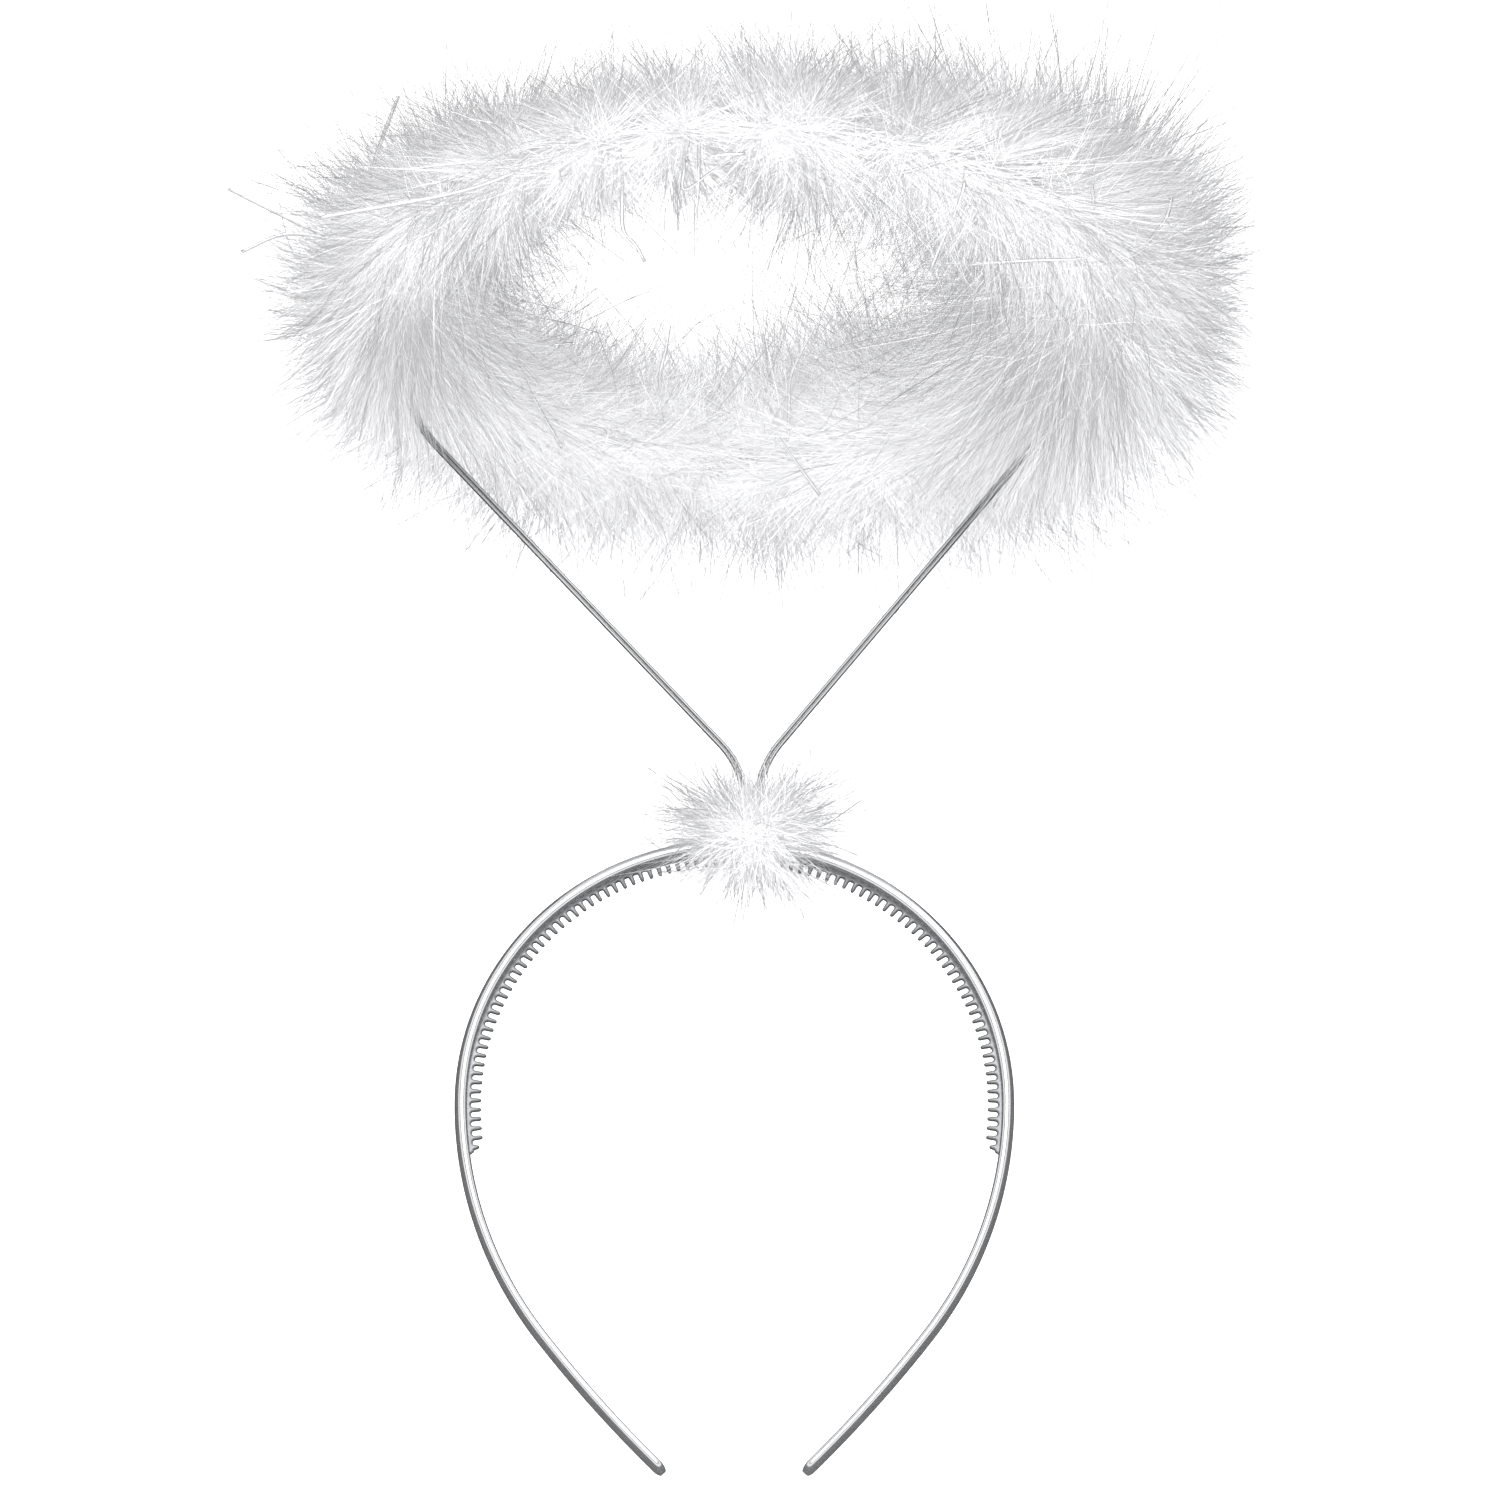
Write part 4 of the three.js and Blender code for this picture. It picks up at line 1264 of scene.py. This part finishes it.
class HALO_OT_stage(bpy.types.Operator):
    """Make the camera, the pale floor and the soft light"""

    bl_idname = "halo.stage"
    bl_label = "Stage"

    def execute(self, context):
        settings = context.scene.halo.stage
        scene = context.scene
        scene.view_settings.view_transform = "Standard"
        self.make_camera(scene, settings)
        self.make_floor(scene, settings)
        self.make_sky(scene, settings)
        add_light("key_light", (0.15, -0.55, 0.8), 1.6, 1.4, settings.key_power)
        front = add_light("front_light", VIEW_BACK, 2.0, 0.9, settings.front_power)
        low = add_light("low_light", (0.0, -0.62, -0.78), 1.6, 0.8, settings.low_power)
        for lamp in (front, low):
            lamp.visible_glossy = False
        return {"FINISHED"}

    def make_camera(self, scene, settings):
        """The photograph's view: square on, from below the level of the band."""
        camera = bpy.data.cameras.new("camera")
        camera.lens = camera.sensor_width * settings.camera_distance / settings.frame_width
        camera.clip_end = 100.0
        viewer = bpy.data.objects.new("camera", camera)
        scene.collection.objects.link(viewer)
        turn = LAY.to_3x3()
        right, up, back = (turn @ Vector(axis) for axis in (VIEW_RIGHT, VIEW_UP, VIEW_BACK))
        rotation = Matrix((right, up, back)).transposed().to_4x4()
        target = LAY.translation + right * settings.frame_across + up * settings.frame_up
        viewer.matrix_world = Matrix.Translation(target + back * settings.camera_distance) @ rotation
        scene.camera = viewer

    def make_floor(self, scene, settings):
        """A wide pale light table under the object."""
        half = 15.0
        corners = [(-half, -half, 0), (half, -half, 0), (half, half, 0), (-half, half, 0)]
        mesh = bpy.data.meshes.new("floor")
        mesh.from_pydata(corners, [], [(0, 1, 2, 3)])
        material, shader = new_material("floor_paper")
        node = add_group(material, shared("Surface Grain", surface_grain_group),
                         Scale=60.0, Smooth=0.85, Rough=0.95, Depth=0.02)
        material.node_tree.links.new(node.outputs["Roughness"], shader.inputs["Roughness"])
        material.node_tree.links.new(node.outputs["Normal"], shader.inputs["Normal"])
        shader.inputs["Base Color"].default_value = (0.93, 0.93, 0.935, 1)
        shader.inputs["Emission Color"].default_value = (1, 1, 1, 1)
        shader.inputs["Emission Strength"].default_value = settings.table_glow
        shader.inputs["Specular IOR Level"].default_value = 0.1
        mesh.materials.append(material)
        floor = bpy.data.objects.new("floor", mesh)
        scene.collection.objects.link(floor)
        floor.visible_glossy = False

    def make_sky(self, scene, settings):
        """Even light from all round: a bright ring over the horizon, and a darker studio under it."""
        world = bpy.data.worlds.new("studio")
        world.use_nodes = True
        nodes, links = world.node_tree.nodes, world.node_tree.links
        sky = nodes["Background"]
        direction = nodes.new("ShaderNodeTexCoord")
        split = nodes.new("ShaderNodeSeparateXYZ")
        height = nodes.new("ShaderNodeMapRange")
        height.inputs["From Min"].default_value = -1.0
        height.inputs["From Max"].default_value = 1.0
        ramp = nodes.new("ShaderNodeValToRGB")
        stops = ramp.color_ramp.elements
        for _ in range(len(SKY_TONES) - len(stops)):
            stops.new(0.5)
        for stop, (rise, tone) in zip(stops, SKY_TONES):
            stop.position = (rise + 1) / 2
            stop.color = (tone, tone, tone, 1)
        links.new(direction.outputs["Generated"], split.inputs[0])
        links.new(split.outputs["Z"], height.inputs["Value"])
        links.new(height.outputs["Result"], ramp.inputs["Fac"])
        links.new(ramp.outputs["Color"], sky.inputs["Color"])
        rays = nodes.new("ShaderNodeLightPath")
        strength = nodes.new("ShaderNodeMapRange")
        strength.inputs["To Min"].default_value = settings.sky_softness
        strength.inputs["To Max"].default_value = settings.sky_strength
        links.new(rays.outputs["Is Glossy Ray"], strength.inputs["Value"])
        links.new(strength.outputs["Result"], sky.inputs["Strength"])
        scene.world = world


class HALO_PT_panel(bpy.types.Panel):
    """Steps and settings of the halo headband"""

    bl_label = "Halo Headband"
    bl_space_type = "VIEW_3D"
    bl_region_type = "UI"
    bl_category = "Halo"

    def draw(self, context):
        layout = self.layout
        halo = context.scene.halo
        for settings, operators in (
            (halo.headband, (HALO_OT_headband,)),
            (halo.stems, (HALO_OT_stems,)),
            (halo.fur, (HALO_OT_halo_fur, HALO_OT_pompom, HALO_OT_tinsel)),
            (halo.stage, (HALO_OT_stage,)),
        ):
            box = layout.box()
            for name in settings.bl_rna.properties.keys():
                if name not in ("rna_type", "name"):
                    box.prop(settings, name)
            for operator in operators:
                box.operator(operator.bl_idname)


CLASSES = (
    HeadbandSettings, StemSettings, FurSettings, StageSettings, HaloSettings,
    HALO_OT_headband, HALO_OT_stems, HALO_OT_halo_fur, HALO_OT_pompom, HALO_OT_tinsel,
    HALO_OT_stage, HALO_PT_panel,
)


def register():
    """Registers the classes and the scene's settings."""
    for cls in CLASSES:
        bpy.utils.register_class(cls)
    bpy.types.Scene.halo = PointerProperty(type=HaloSettings)


def unregister():
    """Takes back what register added."""
    del bpy.types.Scene.halo
    for cls in reversed(CLASSES):
        bpy.utils.unregister_class(cls)


def main():
    register()
    bpy.ops.halo.stage()
    bpy.ops.halo.headband()
    bpy.ops.halo.stems()
    bpy.ops.halo.halo_fur()
    bpy.ops.halo.pompom()
    bpy.ops.halo.tinsel()


if __name__ == "__main__":
    main()
